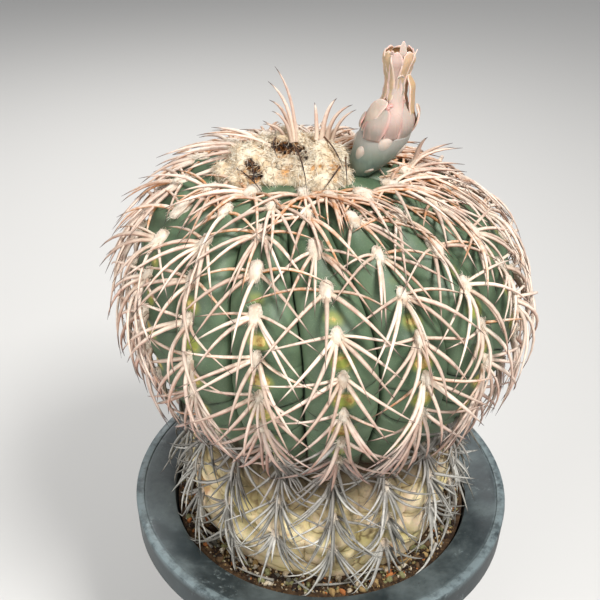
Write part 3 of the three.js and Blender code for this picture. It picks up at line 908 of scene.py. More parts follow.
def make_soil():
    surface = POT_HEIGHT + SOIL_LEVEL
    hollow = surface - ROOT_HOLLOW_DEPTH

    def at_wall(height):
        return (wall_radius(height) - POT_WALL - SOIL_GAP, height)

    edge = at_wall(surface)[0]
    top = [(radius, surface) for radius in np.linspace(edge - 0.7, ROOT_HOLLOW_RADIUS, 16)]
    outline = [(0, SOIL_FOOT), *map(at_wall, (SOIL_FOOT, 70, 130, surface)), *top]
    outline += [(ROOT_HOLLOW_RADIUS, hollow), (0, hollow)]
    points, faces = lathe(outline, SOIL_COLUMNS)
    lifted = [(x, y, z + soil_height(x, y) if z > surface - 0.01 else z) for x, y, z in points]
    finish_piece(add_closed_piece("soil_bed", lifted, faces, SOIL_GROUND), "soil")


def grain_tree():
    """Pebbles of mixed sizes scattered over a surface."""
    tree, given = start_shape_tree(
        "scattered_grit", {"Density": 1.0, "Smallest": 0.5, "Largest": 1.0, "Seed": 1, "Roundness": 1},
    )
    inputs = {"Mesh": given["Shape"], "Density": given["Density"], "Seed": given["Seed"]}
    points = add_node(tree, "GeometryNodeDistributePointsOnFaces", inputs, "Points")
    pebble = lumpy_ball(tree, given["Roundness"], 1.1, 1, 0.5, 0.9)
    turn = random_value(tree, 3, (0, 0, 0), (6.28, 6.28, 6.28))
    size = random_value(tree, 7, given["Smallest"], given["Largest"])
    shape = random_value(tree, 11, (0.7, 0.7, 0.55), (1.25, 1.25, 0.9))
    toned = store(tree, points, "grain_tone", random_value(tree, 5, 0.0, 1.0))
    rotation = add_node(tree, "FunctionNodeEulerToRotation", {0: turn})
    return end_shape_tree(tree, placed(tree, toned, pebble, rotation, shape.scaled(size)), GRAIN_STONE)


def make_grit():
    """Loose grit over the visible ring of soil: a seed surface, then two sizes of grain."""
    surface = POT_HEIGHT + SOIL_LEVEL
    tree = grain_tree()
    rows, columns = 8, 96
    parts = []
    for i, (density, smallest, largest, roundness) in enumerate(GRIT_SIZES):
        points = []
        for radius in np.linspace(*GRIT_RING, rows):
            for angle in np.linspace(0, 2 * math.pi, columns, endpoint=False):
                x, y, z = around(radius, angle, surface)
                points.append((x, y, z + soil_height(x, y) + 0.3 * smallest))
        seed = add_piece("grit_seed", points, grid_faces(rows, columns, True))
        parts.append(grow(
            f"grit_{i}", seed, tree,
            {"Density": density / MM ** 2, "Smallest": smallest * MM, "Largest": largest * MM,
             "Seed": 20 + i, "Roundness": roundness},
        ))
    finish_piece(join_pieces("soil_grit", parts))


# ---------------------------------------------------------------- stem

STEM_CURVE = smooth_curve(STEM_OUTLINE)[::-1]
STEM_DISTANCES = distances_along(STEM_CURVE)
# The stem's first ring is this far from the crown's middle
STEM_START = 0.6


def stem_profile(distance):
    """Radius and height of the stem at a distance down from the crown's middle."""
    radius = np.interp(distance, STEM_DISTANCES, STEM_CURVE[:, 0])
    height = np.interp(distance, STEM_DISTANCES, STEM_CURVE[:, 1])
    return radius, np.minimum(height, STEM_TOP)


def stem_run(distance):
    """How the stem's radius and height change from one side of a distance to the other."""
    ahead, behind = stem_profile(distance + 0.5), stem_profile(distance - 0.5)
    return ahead[0] - behind[0], ahead[1] - behind[1]


def lean_at(height):
    rise = np.clip((height - WIDEST_HEIGHT) / (STEM_TOP - WIDEST_HEIGHT), 0, 1)
    return -STEM_LEAN * rise ** 2


def stem_radius_at(height):
    """Radius of the smooth stem at a height, for keeping things off it."""
    return np.interp(height, STEM_CURVE[::-1, 1], STEM_CURVE[::-1, 0])


def rib_fade(radius, height):
    crown = np.where(height > WIDEST_HEIGHT, smoothstep(radius, 14, 52), 1)
    return crown * smoothstep(height, -4, 8)


def ribbed_stem_tree():
    """Ribs, areole chins and creases, raised on a smooth stem along its outward direction."""
    tree, given = start_shape_tree(
        "ribbed_stem",
        {"Globe Rib Depth": 7.4, "Trunk Rib Depth": 2.4, "Chin Height": 1.6, "Trunk Bulge": 2.2,
         "Crease Depth": 1.7, "Unevenness": 1.4},
    )
    phase, trunk, fade, crease_zone, steps = (
        stored(tree, name) for name in ("areole_phase", "trunk", "rib_fade", "crease_zone", "areole_steps")
    )
    side = stored(tree, "rib_side").math("ABSOLUTE")
    position = stored(tree, "flat_place", "FLOAT_VECTOR")
    globe = 1 - trunk
    wander = position.noise(55, 3, 0.6) - 0.5
    pillow = trunk_folds(position).ramp(0, 0.34)
    crumple = position.noise(160, 3, 0.6) - 0.5
    groove = 0.72 * side ** 2.8 + 0.28 * side ** 22
    depth = given["Globe Rib Depth"] * globe + given["Trunk Rib Depth"] * trunk
    chin = (phase.bell(0.17, 0.24) + phase.bell(-0.83, 0.24)) * (1 - side * side)
    bulge = (phase.bell(0.05, 0.3) + phase.bell(-0.95, 0.3) + phase.bell(1.05, 0.3)) * (1 - side ** 3)
    line = steps + side * 0.2 + wander * 0.45
    crease = line.math("FRACT").bell(0.5, 0.05) * crease_zone * side.ramp(0.1, 0.75) * globe
    relief = (
        -(groove * depth) + chin * given["Chin Height"] * globe
        + bulge * given["Trunk Bulge"] * 0.5 * trunk - crease * given["Crease Depth"]
        + wander * given["Unevenness"] * (1 + 2 * trunk)
        + (pillow - 0.6) * trunk * given["Trunk Bulge"] + crumple * trunk * 0.6
    ) * fade
    shaped = moved(tree, given["Shape"], stored(tree, "outward", "FLOAT_VECTOR").scaled(relief * MM))
    shaped = store(tree, shaped, "groove", (side ** 26).limited() * fade)
    shaped = store(tree, shaped, "crease_line", line)
    low = (phase.bell(-0.33, 0.2) + phase.bell(0.67, 0.2)) * side.bell(0.04, 0.24)
    shaped = store(tree, shaped, "chin", low * stored(tree, "scar_zone") * globe)
    return end_shape_tree(tree, shaped, STEM_SKIN)


def make_stem():
    """A smooth stem whose points know where they lie on the ribs, then its relief."""
    distances = STEM_START + np.linspace(0, 1, STEM_ROWS) * (STEM_DISTANCES[-1] - STEM_START)
    down = distances[:, None]
    ticks = np.linspace(-1, 1, COLUMNS_PER_RIB, endpoint=False)
    rib = np.repeat(np.arange(RIB_COUNT), COLUMNS_PER_RIB)
    side = np.tile(ticks * (1.5 - 0.5 * ticks ** 2), RIB_COUNT)
    azimuths = FIRST_RIB_AZIMUTH + (rib + side / 2) * RIB_ANGLE
    columns = len(azimuths)
    radius, height = stem_profile(distances)
    out, rise = stem_run(distances)
    slope = np.stack([-rise, out], axis=1)
    slope /= np.linalg.norm(slope, axis=1)[:, None]

    def turned(reach, shift, rises):
        grid = (
            reach[:, None] * np.sin(azimuths) + shift, -reach[:, None] * np.cos(azimuths),
            rises[:, None] + 0 * azimuths,
        )
        return np.stack(grid, axis=2).reshape(-1, 3)

    points = turned(radius, lean_at(height)[:, None], POT_HEIGHT + height)
    root_ring = points[-columns:] - (0, 0, ROOT_DEPTH)
    crown_middle = (lean_at(STEM_TOP), 0, POT_HEIGHT + STEM_TOP)
    root_middle = (0, 0, POT_HEIGHT + height[-1] - ROOT_DEPTH)
    points = np.vstack([points, root_ring, [crown_middle, root_middle]])
    seed = add_closed_piece("stem_seed", points, capped_faces(STEM_ROWS + 1, columns))
    steps = (down - (AREOLE_START + AREOLE_PITCH * AREOLE_TURN * rib)) / AREOLE_PITCH
    values = {
        "rib_side": side, "areole_phase": steps - np.round(steps), "areole_steps": steps,
        "stem_distance": down, "trunk": smoothstep(down, *TRUNK_FORM),
        "rib_fade": rib_fade(radius, height)[:, None], "crease_zone": smoothstep(down, *CREASES),
        "scar_zone": smoothstep(down, *SCARS),
    }
    beyond = np.zeros(columns + 2)
    for name, grid in values.items():
        grid = np.broadcast_to(grid, (STEM_ROWS, columns))
        point_values(seed.data, name, np.concatenate([grid.ravel(), beyond]))
    outward = turned(slope[:, 0], 0, slope[:, 1])
    point_values(seed.data, "outward", np.vstack([outward, np.zeros((columns + 2, 3))]))
    point_values(seed.data, "flat_place", points * MM)
    return grow("stem", seed, ribbed_stem_tree(), {})


# ---------------------------------------------------------------- areoles and spines

Areole = namedtuple("Areole", "distance place outward down side")


def areole_at(rib, distance):
    """Place and local directions of an areole, at a distance down a rib."""
    radius, height = stem_profile(distance)
    azimuth = FIRST_RIB_AZIMUTH + rib * RIB_ANGLE
    radial = Vector((math.sin(azimuth), -math.cos(azimuth), 0))
    place = radial * float(radius) + Vector((float(lean_at(height)), 0, POT_HEIGHT + float(height)))
    run = Vector([float(change) for change in stem_run(distance)]).normalized()
    down = radial * run.x + Vector((0, 0, run.y))
    outward = radial * -run.y + Vector((0, 0, run.x))
    return Areole(distance, place, outward, down, Vector((math.cos(azimuth), math.sin(azimuth), 0)))


def seat_areoles(stem_piece):
    """Every areole, moved out or in to the skin of the finished stem."""
    skin = BVHTree.FromObject(stem_piece, bpy.context.evaluated_depsgraph_get())
    seated = []
    for rib in range(RIB_COUNT):
        start = AREOLE_START + AREOLE_PITCH * AREOLE_TURN * rib
        step = math.ceil((INNER_AREOLE - start) / AREOLE_PITCH)
        while start + step * AREOLE_PITCH <= LAST_AREOLE:
            areole = areole_at(rib, start + step * AREOLE_PITCH)
            outside = (areole.place + areole.outward * SEAT_START) * MM
            hit = skin.ray_cast(outside, -areole.outward, SEAT_DEPTH * MM)[0]
            seated.append(areole if hit is None else areole._replace(place=hit / MM))
            step += 1
    return seated


def over_wool(x, y):
    return any(math.hypot(x - tuft[0], y - tuft[1]) < tuft[2] * 0.9 for tuft in WOOL_TUFTS[1:])


def in_crown_wool(areole):
    return areole.distance < WOOL_REACH and over_wool(areole.place.x, areole.place.y)


def rest_height(radius):
    """Height above the rim of the soil, the brim or the lip that a spine may lie on."""
    return np.interp(radius, (0, 69, 70.5, 83, 84.5, 88), (-5.4, -5.4, -3.9, -0.6, 0.1, 0.1))


def keep_clear(points, thickness):
    """Moves the points of a spine out of the stem, the soil and the brim."""
    cleared = []
    for index, point in enumerate(points):
        point = point.copy()
        height = point.z - POT_HEIGHT
        if index > 1 and height < STEM_TOP - 4:
            lean = float(lean_at(height))
            away = Vector((point.x - lean, point.y, 0))
            least = float(stem_radius_at(height)) + thickness + STEM_CLEARANCE
            least += min(index, 4) * STEM_CLEARANCE_STEP
            if away.length < least:
                away = away.normalized() * least
                point.x, point.y = away.x + lean, away.y
        floor = POT_HEIGHT + float(rest_height(math.hypot(point.x, point.y)))
        point.z = max(point.z, floor + thickness + REST_CLEARANCE)
        cleared.append(point)
    return cleared


def bent_path(root, control, tip, steps=SPINE_STEPS):
    path = []
    for i in range(steps + 1):
        part = i / steps
        path.append(root * (1 - part) ** 2 + control * (2 * part * (1 - part)) + tip * part ** 2)
    return path


FLOWER_CURVE = smooth_curve(FLOWER_AXIS)


def flower_axis_at(height):
    return (np.interp(height, FLOWER_CURVE[:, 2], FLOWER_CURVE[:, axis]) for axis in range(2))


def near_flower(path):
    for point in path:
        height = point.z - POT_HEIGHT
        if FLOWER_FOOT <= height <= FLOWER_TOP:
            x, y = flower_axis_at(height)
            radius = np.interp(height, *zip(*FLOWER_BOUNDS))
            if math.hypot(point.x - x, point.y - y) < radius + FLOWER_CLEARANCE:
                return True
    return False


class Bundle:
    """Spines or hairs collected as open paths, each with its own thickness and tones."""

    LABELS = ("thickness", "along", "tone", "warmth", "age")

    def __init__(self):
        self.points, self.edges, self.values = [], [], []

    def add(self, path, radius, tone, warmth, taper, age=0):
        for i, point in enumerate(path):
            part = i / (len(path) - 1)
            if i:
                self.edges.append((len(self.points) - 1, len(self.points)))
            self.points.append(tuple(point))
            self.values.append((radius * taper(part) * MM, part, tone, warmth, age))

    def grown(self, name, material, sides=SPINE_SIDES):
        """A piece of round tapered rods, one along every path."""
        seed = add_piece(name + "_paths", self.points, [], edges=self.edges)
        for label, values in zip(self.LABELS, np.array(self.values).T):
            point_values(seed.data, label, values)
        return grow(name, seed, rod_tree(name + "_rods", material), {"Sides": sides})


def rod_tree(name, material):
    """Round tapered rods swept along every path of the seed."""
    tree, given = start_shape_tree(name, {"Sides": 5, "Girth": 1.0})
    paths = add_node(tree, "GeometryNodeMeshToCurve", {0: given["Shape"]})
    ring = add_node(tree, "GeometryNodeCurvePrimitiveCircle", {"Resolution": given["Sides"], "Radius": 1.0})
    rods = add_node(
        tree, "GeometryNodeCurveToMesh",
        {"Curve": paths, "Profile Curve": ring, "Scale": stored(tree, "thickness") * given["Girth"],
         "Fill Caps": True},
    )
    return end_shape_tree(tree, rods, material)


def spine_taper(part):
    """A swollen foot, thick for half its length, then drawn out to a sharp tip."""
    foot = 1 + 0.3 * max(0, 1 - part / 0.12)
    return foot * (1 - 0.15 * part) * max(0.06, 1 - part ** 3.2)


def hair_taper(part):
    return max(0.15, 1 - part)


# Spines of one areole in each zone down the stem: direction in degrees from straight down,
# share of the full length, share of the full thickness
SPINE_PLANS = [
    (58, [(-94, 0.8, 0.75), (90, 0.8, 0.75), (-62, 0.95, 0.9), (60, 0.95, 0.9), (-40, 1.0, 0.95),
          (38, 1.0, 0.95), (-22, 1.0, 0.9), (18, 1.0, 0.9), (-6, 0.95, 0.85), (2, 0.85, 0.8)]),
    (112, [(-88, 0.9, 0.75), (86, 0.9, 0.75), (-55, 1.0, 1), (52, 1.0, 1), (-40, 1.0, 1), (36, 1.0, 1),
           (-9, 0.95, 0.95), (12, 0.8, 0.8)]),
    (TRUNK_BEGINS, [(-76, 0.85, 0.7), (74, 0.85, 0.7), (-46, 1.0, 0.95), (43, 1.0, 0.95),
                    (-27, 0.95, 1), (25, 0.95, 1), (-10, 0.9, 0.9), (8, 0.95, 0.9)]),
    (LAST_AREOLE, [(-78, 0.9, 0.7), (74, 0.9, 0.7), (-58, 1.0, 0.75), (60, 1.0, 0.75),
                   (-42, 1.05, 0.8), (40, 1.0, 0.8), (-28, 0.95, 0.8), (30, 1.0, 0.75),
                   (-16, 1.0, 0.8), (14, 0.9, 0.8), (-4, 0.95, 0.75), (3, 0.8, 0.8)]),
]


def spine_plan(rng, areole):
    """The spines of one areole. Those at the sides and at the back have two more."""
    plan = next(plan for zone_end, plan in SPINE_PLANS if areole.distance <= zone_end)
    inner_zone_end = SPINE_PLANS[0][0]
    if areole.place.y > EXTRA_SPINES_FROM and inner_zone_end < areole.distance < TRUNK_BEGINS:
        plan = plan + [(rng.uniform(-75, -15), 1, 0.9), (rng.uniform(15, 75), 1, 0.9)]
    return plan


def globe_spine(rng, areole, degrees, length):
    """Rises out of the felt, arches over close to its foot, then runs down along the stem.
    Near the crown it lies almost flat, most of all at the left and at the back. Low on the globe
    it is straighter and points away from the stem."""
    distance, place, outward, down, side = areole
    low = smoothstep(distance, *STRAIGHTER_SPINES)
    angle = math.radians(degrees + rng.uniform(-10, 10) * lerp(1, 1.7, low))
    flat = down * math.cos(angle) + side * math.sin(angle)
    hugging = smoothstep(place.y - 0.5 * place.x, 0, 50)
    hugging = hugging * (1 - smoothstep(distance, *HUGGING_SPINES_END))
    upright = lerp(0.42, 0.92, smoothstep(distance, *TALLER_SPINES)) * lerp(1, 0.5, hugging)
    stray = 1.3 if rng.random() < 0.08 else 1
    rise = rng.uniform(0.24, 0.42) * length * upright * stray * lerp(1, 0.62, low)
    droop = rng.uniform(0.08, 0.3) * abs(math.sin(angle)) * lerp(1, 0.45, low)
    root = place - outward * SPINE_SINK + flat * 1.0 + down * 1.2
    control = place + flat * (rng.uniform(0.26, 0.38) * length) + outward * rise
    tip = place + flat * (0.84 * length) + down * (droop * length)
    tip += outward * (0.3 * rise - 2.6 - 2.6 * hugging + rng.uniform(1, 6) * low)
    tip += side * (rng.uniform(-0.06, 0.06) * length)
    return bent_path(root, control, tip)


def trunk_spine(rng, areole, degrees, length):
    """Starts down the rib in a bundle, then sweeps sideways as it hangs. Half are straight."""
    _, place, outward, down, side = areole
    angle = math.radians(degrees + rng.uniform(-24, 24))
    length *= rng.uniform(0.8, 1.1)
    sweep = math.sin(angle)
    root = place - outward * SPINE_SINK + down * rng.uniform(-0.5, 1.5)
    control = place + down * (rng.uniform(0.25, 0.45) * length)
    control += outward * (rng.uniform(0.1, 0.36) * length) + side * (rng.uniform(0.05, 0.3) * sweep * length)
    tip = place + down * (rng.uniform(0.5, 0.82) * math.cos(angle * 0.8) * length)
    tip += side * (0.66 * sweep * length) + outward * (rng.uniform(0.0, 0.3) * length)
    if rng.random() < 0.5:
        control = control.lerp(root.lerp(tip, 0.4) + outward * (0.08 * length), rng.uniform(0.6, 1))
    return bent_path(root, control, tip)


def spine_warmth(rng, degrees, distance):
    """How orange a spine is: most of all near the crown and where it points sideways."""
    near_crown = 1 - smoothstep(distance, *WARM_SPINES_END)
    sideways = smoothstep(abs(degrees), 62, 80)
    return rng.uniform(0.1, 0.5) + 0.6 * near_crown * rng.random() + 0.5 * sideways * rng.random()


def wool_edge(rib):
    """How far down a rib, or down a line between two, the crown's wool reaches."""
    distance = INNER_AREOLE / 2
    while over_wool(*areole_at(rib, distance).place.xy):
        distance += 1
    return distance


def add_thatch(bundle):
    """Flat, orange spines that run outwards all round the foot of the wool, save at the front,
    where the green of the crown shows. At the right they reach further down."""
    rng = random.Random(733)
    for _ in range(THATCH_SPINES):
        rib = rng.uniform(0, RIB_COUNT)
        distance = wool_edge(rib) + rng.uniform(-2, 9)
        if areole_at(rib, distance).place.x > THATCH_WIDENS:
            distance += rng.uniform(0, 22)
        areole = areole_at(rib, distance)
        if areole.place.y < 0 and THATCH_GAP[0] < areole.place.x < THATCH_GAP[1]:
            continue
        length = SPINE_LENGTH * rng.uniform(0.55, 0.9)
        path = globe_spine(rng, areole, rng.uniform(-34, 34), length)
        if near_flower(path):
            continue
        radius = SPINE_RADIUS * rng.uniform(0.6, 0.85)
        bundle.add(keep_clear(path, radius), radius, rng.random(), rng.uniform(0.65, 1.25), spine_taper)


def add_fallen(bundle):
    """Old spines that lie on the soil, along the foot of the trunk."""
    rng = random.Random(92)
    for _ in range(FALLEN_SPINES):
        azimuth, radius = rng.uniform(0, 2 * math.pi), rng.uniform(58, 65)
        drift, turn = rng.uniform(-6, 8), rng.uniform(0.15, 0.4) * rng.choice((-1, 1))
        lift = rng.uniform(0.5, 4)
        path = []
        for step in range(SPINE_STEPS + 1):
            part = step / SPINE_STEPS
            height = POT_HEIGHT - 6 + lift * (1 - part)
            path.append(Vector(around(radius + drift * part, azimuth + turn * part, height)))
        girth = SPINE_RADIUS * rng.uniform(0.6, 0.8)
        bundle.add(keep_clear(path, girth), girth, rng.random(), rng.random() * 0.6, spine_taper)


def make_spines(seated):
    """The spines of every areole. Those low on the globe may be as grey as the trunk's."""
    rng = random.Random(4127)
    globe, trunk = Bundle(), Bundle()
    for areole in seated:
        distance = areole.distance
        on_trunk = distance > TRUNK_BEGINS
        if in_crown_wool(areole):
            continue
        lean = rng.uniform(-9, 9)
        shorter = smoothstep(distance, *SHORTER_SPINES) * (not on_trunk)
        vigour = rng.uniform(0.9, 1.06) * (1 - 0.12 * shorter)
        front_crown = (1 - smoothstep(distance, *FULL_SPINES)) * smoothstep(-areole.place.y, 5, 25)
        for degrees, length_share, girth_share in spine_plan(rng, areole):
            if rng.random() < SPINE_LOSS + FRONT_CROWN_LOSS * front_crown:
                continue
            length = SPINE_LENGTH * length_share * vigour * rng.uniform(0.84, 1.1)
            grown_path = trunk_spine if on_trunk else globe_spine
            path = grown_path(rng, areole, degrees + lean, length)
            radius = SPINE_RADIUS * girth_share * rng.uniform(0.88, 1.1)
            if near_flower(path):
                continue
            warmth = spine_warmth(rng, degrees, distance)
            greyed = rng.random() < (distance - GREYING_START) / GREYING_SPAN
            bundle = trunk if on_trunk or greyed else globe
            age = smoothstep(distance, *AGED_SPINES) * rng.uniform(0.4, 1.2)
            if on_trunk:
                age = rng.random() * (1 - smoothstep(distance, *NECK_SPINES_END))
            bundle.add(keep_clear(path, radius), radius, rng.random(), warmth, spine_taper, age)
    add_thatch(globe)
    add_fallen(trunk)
    finish_piece(globe.grown("spines", GLOBE_HORN))
    finish_piece(trunk.grown("trunk_spines", TRUNK_HORN))


def areole_wool_tree():
    """A flattened, lumpy cushion on every areole."""
    tree, given = start_shape_tree("areole_cushions", {"Cushion Radius": 2.1, "Cushion Height": 1.7})
    directions = {0: stored(tree, "outward", "FLOAT_VECTOR"), 1: stored(tree, "down", "FLOAT_VECTOR")}
    turn = add_node(
        tree, "FunctionNodeAxesToRotation", directions, primary_axis="Z", secondary_axis="Y",
    )
    width, height = given["Cushion Radius"], given["Cushion Height"]
    size = add_node(
        tree, "ShaderNodeCombineXYZ", {0: width * MM, 1: width * 1.75 * MM, 2: height * MM},
    )
    ball = lumpy_ball(tree, 2, 2.6, 3, 0.65, 1.3)
    cushions = placed(tree, given["Shape"], ball, turn, size.scaled(stored(tree, "size")))
    return end_shape_tree(tree, cushions, AREOLE_FELT)


def make_areole_wool(seated):
    """Woolly cushions, with a fringe of loose fibres round each and down along its spines."""
    rng = random.Random(88)
    kept = [areole for areole in seated if not in_crown_wool(areole)]
    places = [tuple(areole.place + areole.outward * 0.1 + areole.down * 1.3) for areole in kept]
    seed = add_piece("areole_seeds", places, [])
    distances = [areole.distance for areole in kept]
    shrunk = [smoothstep(at, *SMALLER_CUSHIONS) for at in distances]
    sizes = [rng.uniform(0.85, 1.15) * lerp(1.25, 0.85, share) for share in shrunk]
    rusts = [rng.uniform(0.0, 0.35) * (1 - smoothstep(at, *RUSTY_CUSHIONS_END)) for at in distances]
    outwards, downs = ([tuple(getattr(areole, way)) for areole in kept] for way in ("outward", "down"))
    for name, values in {"outward": outwards, "down": downs, "size": sizes, "rust": rusts}.items():
        point_values(seed.data, name, values)
    cushions = grow("areole_wool", seed, areole_wool_tree(), {})
    fringe = Bundle()
    for (_, place, outward, down, side), size, rust in zip(kept, sizes, rusts):
        for _ in range(FRINGE_FIBRES):
            turn = rng.uniform(0, 2 * math.pi)
            flat = down * (math.cos(turn) * 1.6) + side * math.sin(turn)
            reach = rng.uniform(0.3, 1.0)
            start = place + down * 1.3 + flat * (2.0 * size * reach) + outward * (1.2 * (1 - reach * 0.7))
            lift = rng.uniform(0.3, 1.3)
            middle = start + flat * rng.uniform(0.3, 0.8) + outward * lift
            end = middle + flat * rng.uniform(0.2, 1.3) + down * rng.uniform(0.0, 1.8)
            end += side * rng.uniform(-0.7, 0.7) + outward * (lift - 1.0)
            fringe.add([start, middle, end], rng.uniform(0.11, 0.22), rng.random(), rust, hair_taper)
    fibres = fringe.grown("areole_fibres", AREOLE_FELT, HAIR_SIDES)
    finish_piece(join_pieces("areole_wool", [cushions, fibres]))


# ---------------------------------------------------------------- crown wool

# Centre and reach of each dark, withered patch and of each rust-coloured one
WITHERED_SPOTS = [
    (-31, -12.6, 169.4, 2.5), (-29.2, -13.3, 168, 3), (-27.4, -13.9, 166.6, 2.3), (-30, -15.6, 166, 1.7),
    (-26, 6, 169.3, 2.4), (-24, 6.3, 169.2, 3), (-21.5, 6, 169, 3.3), (-19, 5.4, 169, 3.5),
    (-16.5, 5.8, 169, 3.6), (-14.5, 6.5, 168.3, 3.6), (-12.5, 7.4, 167, 3.4), (-11, -7, 171, 2),
    (-34, 4, 172, 2.6),
]
RUST_SPOTS = [
    (-7.1, -13.4, 169.6, 2.3), (-4.1, -13.6, 170.7, 1.9), (-18.6, 3, 167.4, 4.4), (-22, 2, 167.5, 3.4),
    (1.6, -12.3, 169.5, 4.6), (-29, -16, 165, 4.6), (-33.5, -14, 166.5, 3.6), (-15, -8, 167, 5),
    (-22, -12, 165, 5), (5.5, -6, 166, 5), (-38, -6, 166, 5), (-18, -10, 165, 5), (0, -15, 166, 4),
]
# Root and tip of the spines that stand up out of the wool, or arch away from its sides
CROWN_SPINES = [
    ((-14, 8, 171), (-22.4, 4, 203)), ((-15, 8, 171), (-25, 4, 197)), ((-16, 8, 171), (-24.5, 4, 189.5)),
    ((-16, 7, 171), (-23.6, 4, 185)), ((-18, 9, 171), (-27, 4, 179.5)), ((-6, 8, 172), (-7.2, 9, 187)),
    ((-4, 8, 172), (1.5, 9, 189)), ((-2, 8, 172), (7.7, 9, 186.5)), ((0, 8, 171), (9.2, 9, 184.5)),
    ((-1, 12, 170), (8.6, 9, 176.5)), ((-24, 2, 171), (-49.3, -2, 177.5)), ((-36, 2, 170), (-54.4, -2, 171)),
    ((-34, 0, 169), (-52.4, -4, 167.5)), ((-39, 2, 166), (-59.4, -4, 161.5)), ((-37, 6, 167), (-62, -2, 168)),
    ((-39, -3, 165), (-67.7, -8, 155.5)), ((-30, 14, 167), (-50, 26, 168)), ((-20, 20, 166), (-30, 44, 164)),
    ((-8, 20, 166), (-4, 46, 164)), ((3, 14, 165), (22, 38, 164)), ((-14, 21, 166), (-16, 48, 163)),
    ((31, 7, 161), (47.9, 8.3, 172)), ((32, 6, 161), (52, 8.3, 170)), ((33, 5, 161), (53.2, 5.9, 164)),
    ((32, 4, 161), (54.5, 7.5, 160)), ((34, 3, 160), (60.4, 7.4, 154)), ((33, 8, 161), (37.2, 4, 176)),
    ((31, 10, 161), (50, 20, 165)), ((32, 5, 161), (58, 2, 156)),
]
CROWN_SPINE_BOW = 4
# Root and tip of the blackened old spines that lie over the wool
OLD_SPINES = [
    ((-14, -2, 173), (-8.5, -27, 165)), ((-3, -2, 177.5), (5, -15, 170)), ((3.5, -14, 171), (-3, -26, 166)),
    ((-30, -13, 171), (-28, -22, 165)), ((5.5, -8, 172), (6.5, -18, 165)), ((-36, -12, 168), (-24, -26, 163)),
    ((-22, 4, 174), (-20, -8, 170)),
]
OLD_SPINE_RADIUS = 0.33


def nearness(place, spots):
    """1 in the middle of the nearest spot, and 0 from its edge outwards."""
    nearest = 0
    for x, y, height, reach in spots:
        away = (place - Vector((x, y, POT_HEIGHT + height))).length
        nearest = max(nearest, 1 - away / reach)
    return nearest


def add_wool_strand(strands, rng, place, normal, decay, rust):
    """A short curled fibre that lies over the wool."""
    heading = Vector((rng.uniform(-0.7, 0.7), rng.uniform(-0.7, 0.7), rng.uniform(-1.6, 0.2)))
    along = (heading - normal * heading.dot(normal)).normalized()
    across = normal.cross(along)
    length = rng.uniform(1.5, 4.8) * (1 - decay)
    middle = place + along * (0.5 * length) + normal * rng.uniform(0.3, 1.5) + across * rng.uniform(-0.7, 0.7)
    end = place + along * length + normal * rng.uniform(-0.3, 1.7) + across * rng.uniform(-1.4, 1.4)
    warmth = max(rust, 0.9 if decay > 0.1 else 0)
    strands.add([place - normal * 0.3, middle, end], rng.uniform(0.13, 0.3), rng.random(), warmth, hair_taper)


def make_crown_wool():
    """Lumps of felted wool, joined into one skin and roughened, with strands over it."""
    foot = POT_HEIGHT + WOOL_FOOT
    shape = bmesh.new()
    for x, y, radius, height in WOOL_TUFTS:
        place = Matrix.Translation((x * MM, y * MM, foot * MM))
        size = Matrix.Diagonal((radius * MM, radius * MM, height * MM, 1))
        bmesh.ops.create_icosphere(shape, subdivisions=4, radius=1, matrix=place @ size)
    wool = link_new("crown_wool_felt", bpy.data.meshes.new("crown_wool"))
    shape.to_mesh(wool.data)
    shape.free()
    remesh = wool.modifiers.new("join", "REMESH")
    remesh.mode = "VOXEL"
    remesh.voxel_size = WOOL_VOXEL * MM
    apply_modifiers(wool)
    felt = wool.data
    withered, rust = [], []
    strands = Bundle()
    rng = random.Random(310)
    strand_share = WOOL_STRANDS / len(felt.vertices)
    for vertex in felt.vertices:
        place = vertex.co / MM
        normal = vertex.normal.copy()
        lump = 1.9 * noise.noise(place * 0.15) + 1.5 * noise.noise(place * 0.36)
        ridge = 0.9 * abs(noise.noise(place * 0.8))
        rise = min(1, max(0, (place.z - foot) / 2))
        decay = nearness(place, WITHERED_SPOTS)
        vertex.co += normal * ((lump - ridge - 2.6 * decay) * rise * MM)
        withered.append(decay)
        rust.append(nearness(place, RUST_SPOTS))
        if rise > 0.2 and decay < 0.5 and rng.random() < strand_share:
            add_wool_strand(strands, rng, vertex.co / MM, normal, decay, rust[-1])
    tone = np.full(len(felt.vertices), 0.3)
    for name, values in {"withered": withered, "rust": rust, "tone": tone}.items():
        point_values(felt, name, values)
    shade_smooth(felt)
    felt.materials.clear()
    felt.materials.append(WOOL)
    fibres = strands.grown("wool_fibres", WOOL, HAIR_SIDES)
    finish_piece(join_pieces("crown_wool_felt", [wool, fibres]), "crown_wool")


def make_crown_spines():
    """Spines that stand up out of the wool, and old ones that lie over it."""
    rng = random.Random(52)
    fresh, old = Bundle(), Bundle()
    lift = Vector((0, 0, POT_HEIGHT))
    for root, tip in CROWN_SPINES:
        root, tip = Vector(root) + lift, Vector(tip) + lift
        span = tip - root
        bow = Vector((-span.x, -span.y, 0)) * 0.3 + Vector((0, 0, CROWN_SPINE_BOW))
        path = bent_path(root, (root + tip) / 2 + bow * rng.uniform(0.7, 1.3), tip)
        fresh.add(path, rng.uniform(0.72, 1.08), rng.random(), rng.uniform(0.1, 0.55), spine_taper)
    for root, tip in OLD_SPINES:
        root, tip = Vector(root) + lift, Vector(tip) + lift
        middle = (root + tip) / 2 + Vector((rng.uniform(-3, 3), -1, 2.4))
        old.add(bent_path(root, middle, tip), OLD_SPINE_RADIUS, rng.random(), rng.random(), spine_taper)
    finish_piece(fresh.grown("crown_spines", GLOBE_HORN))
    finish_piece(old.grown("old_spines", OLD_HORN))


# ---------------------------------------------------------------- flower

def around_axis(height, azimuth, radius):
    """A point beside the flower's axis."""
    x, y = flower_axis_at(height)
    return (x + radius * math.sin(azimuth), y - radius * math.cos(azimuth), POT_HEIGHT + height)


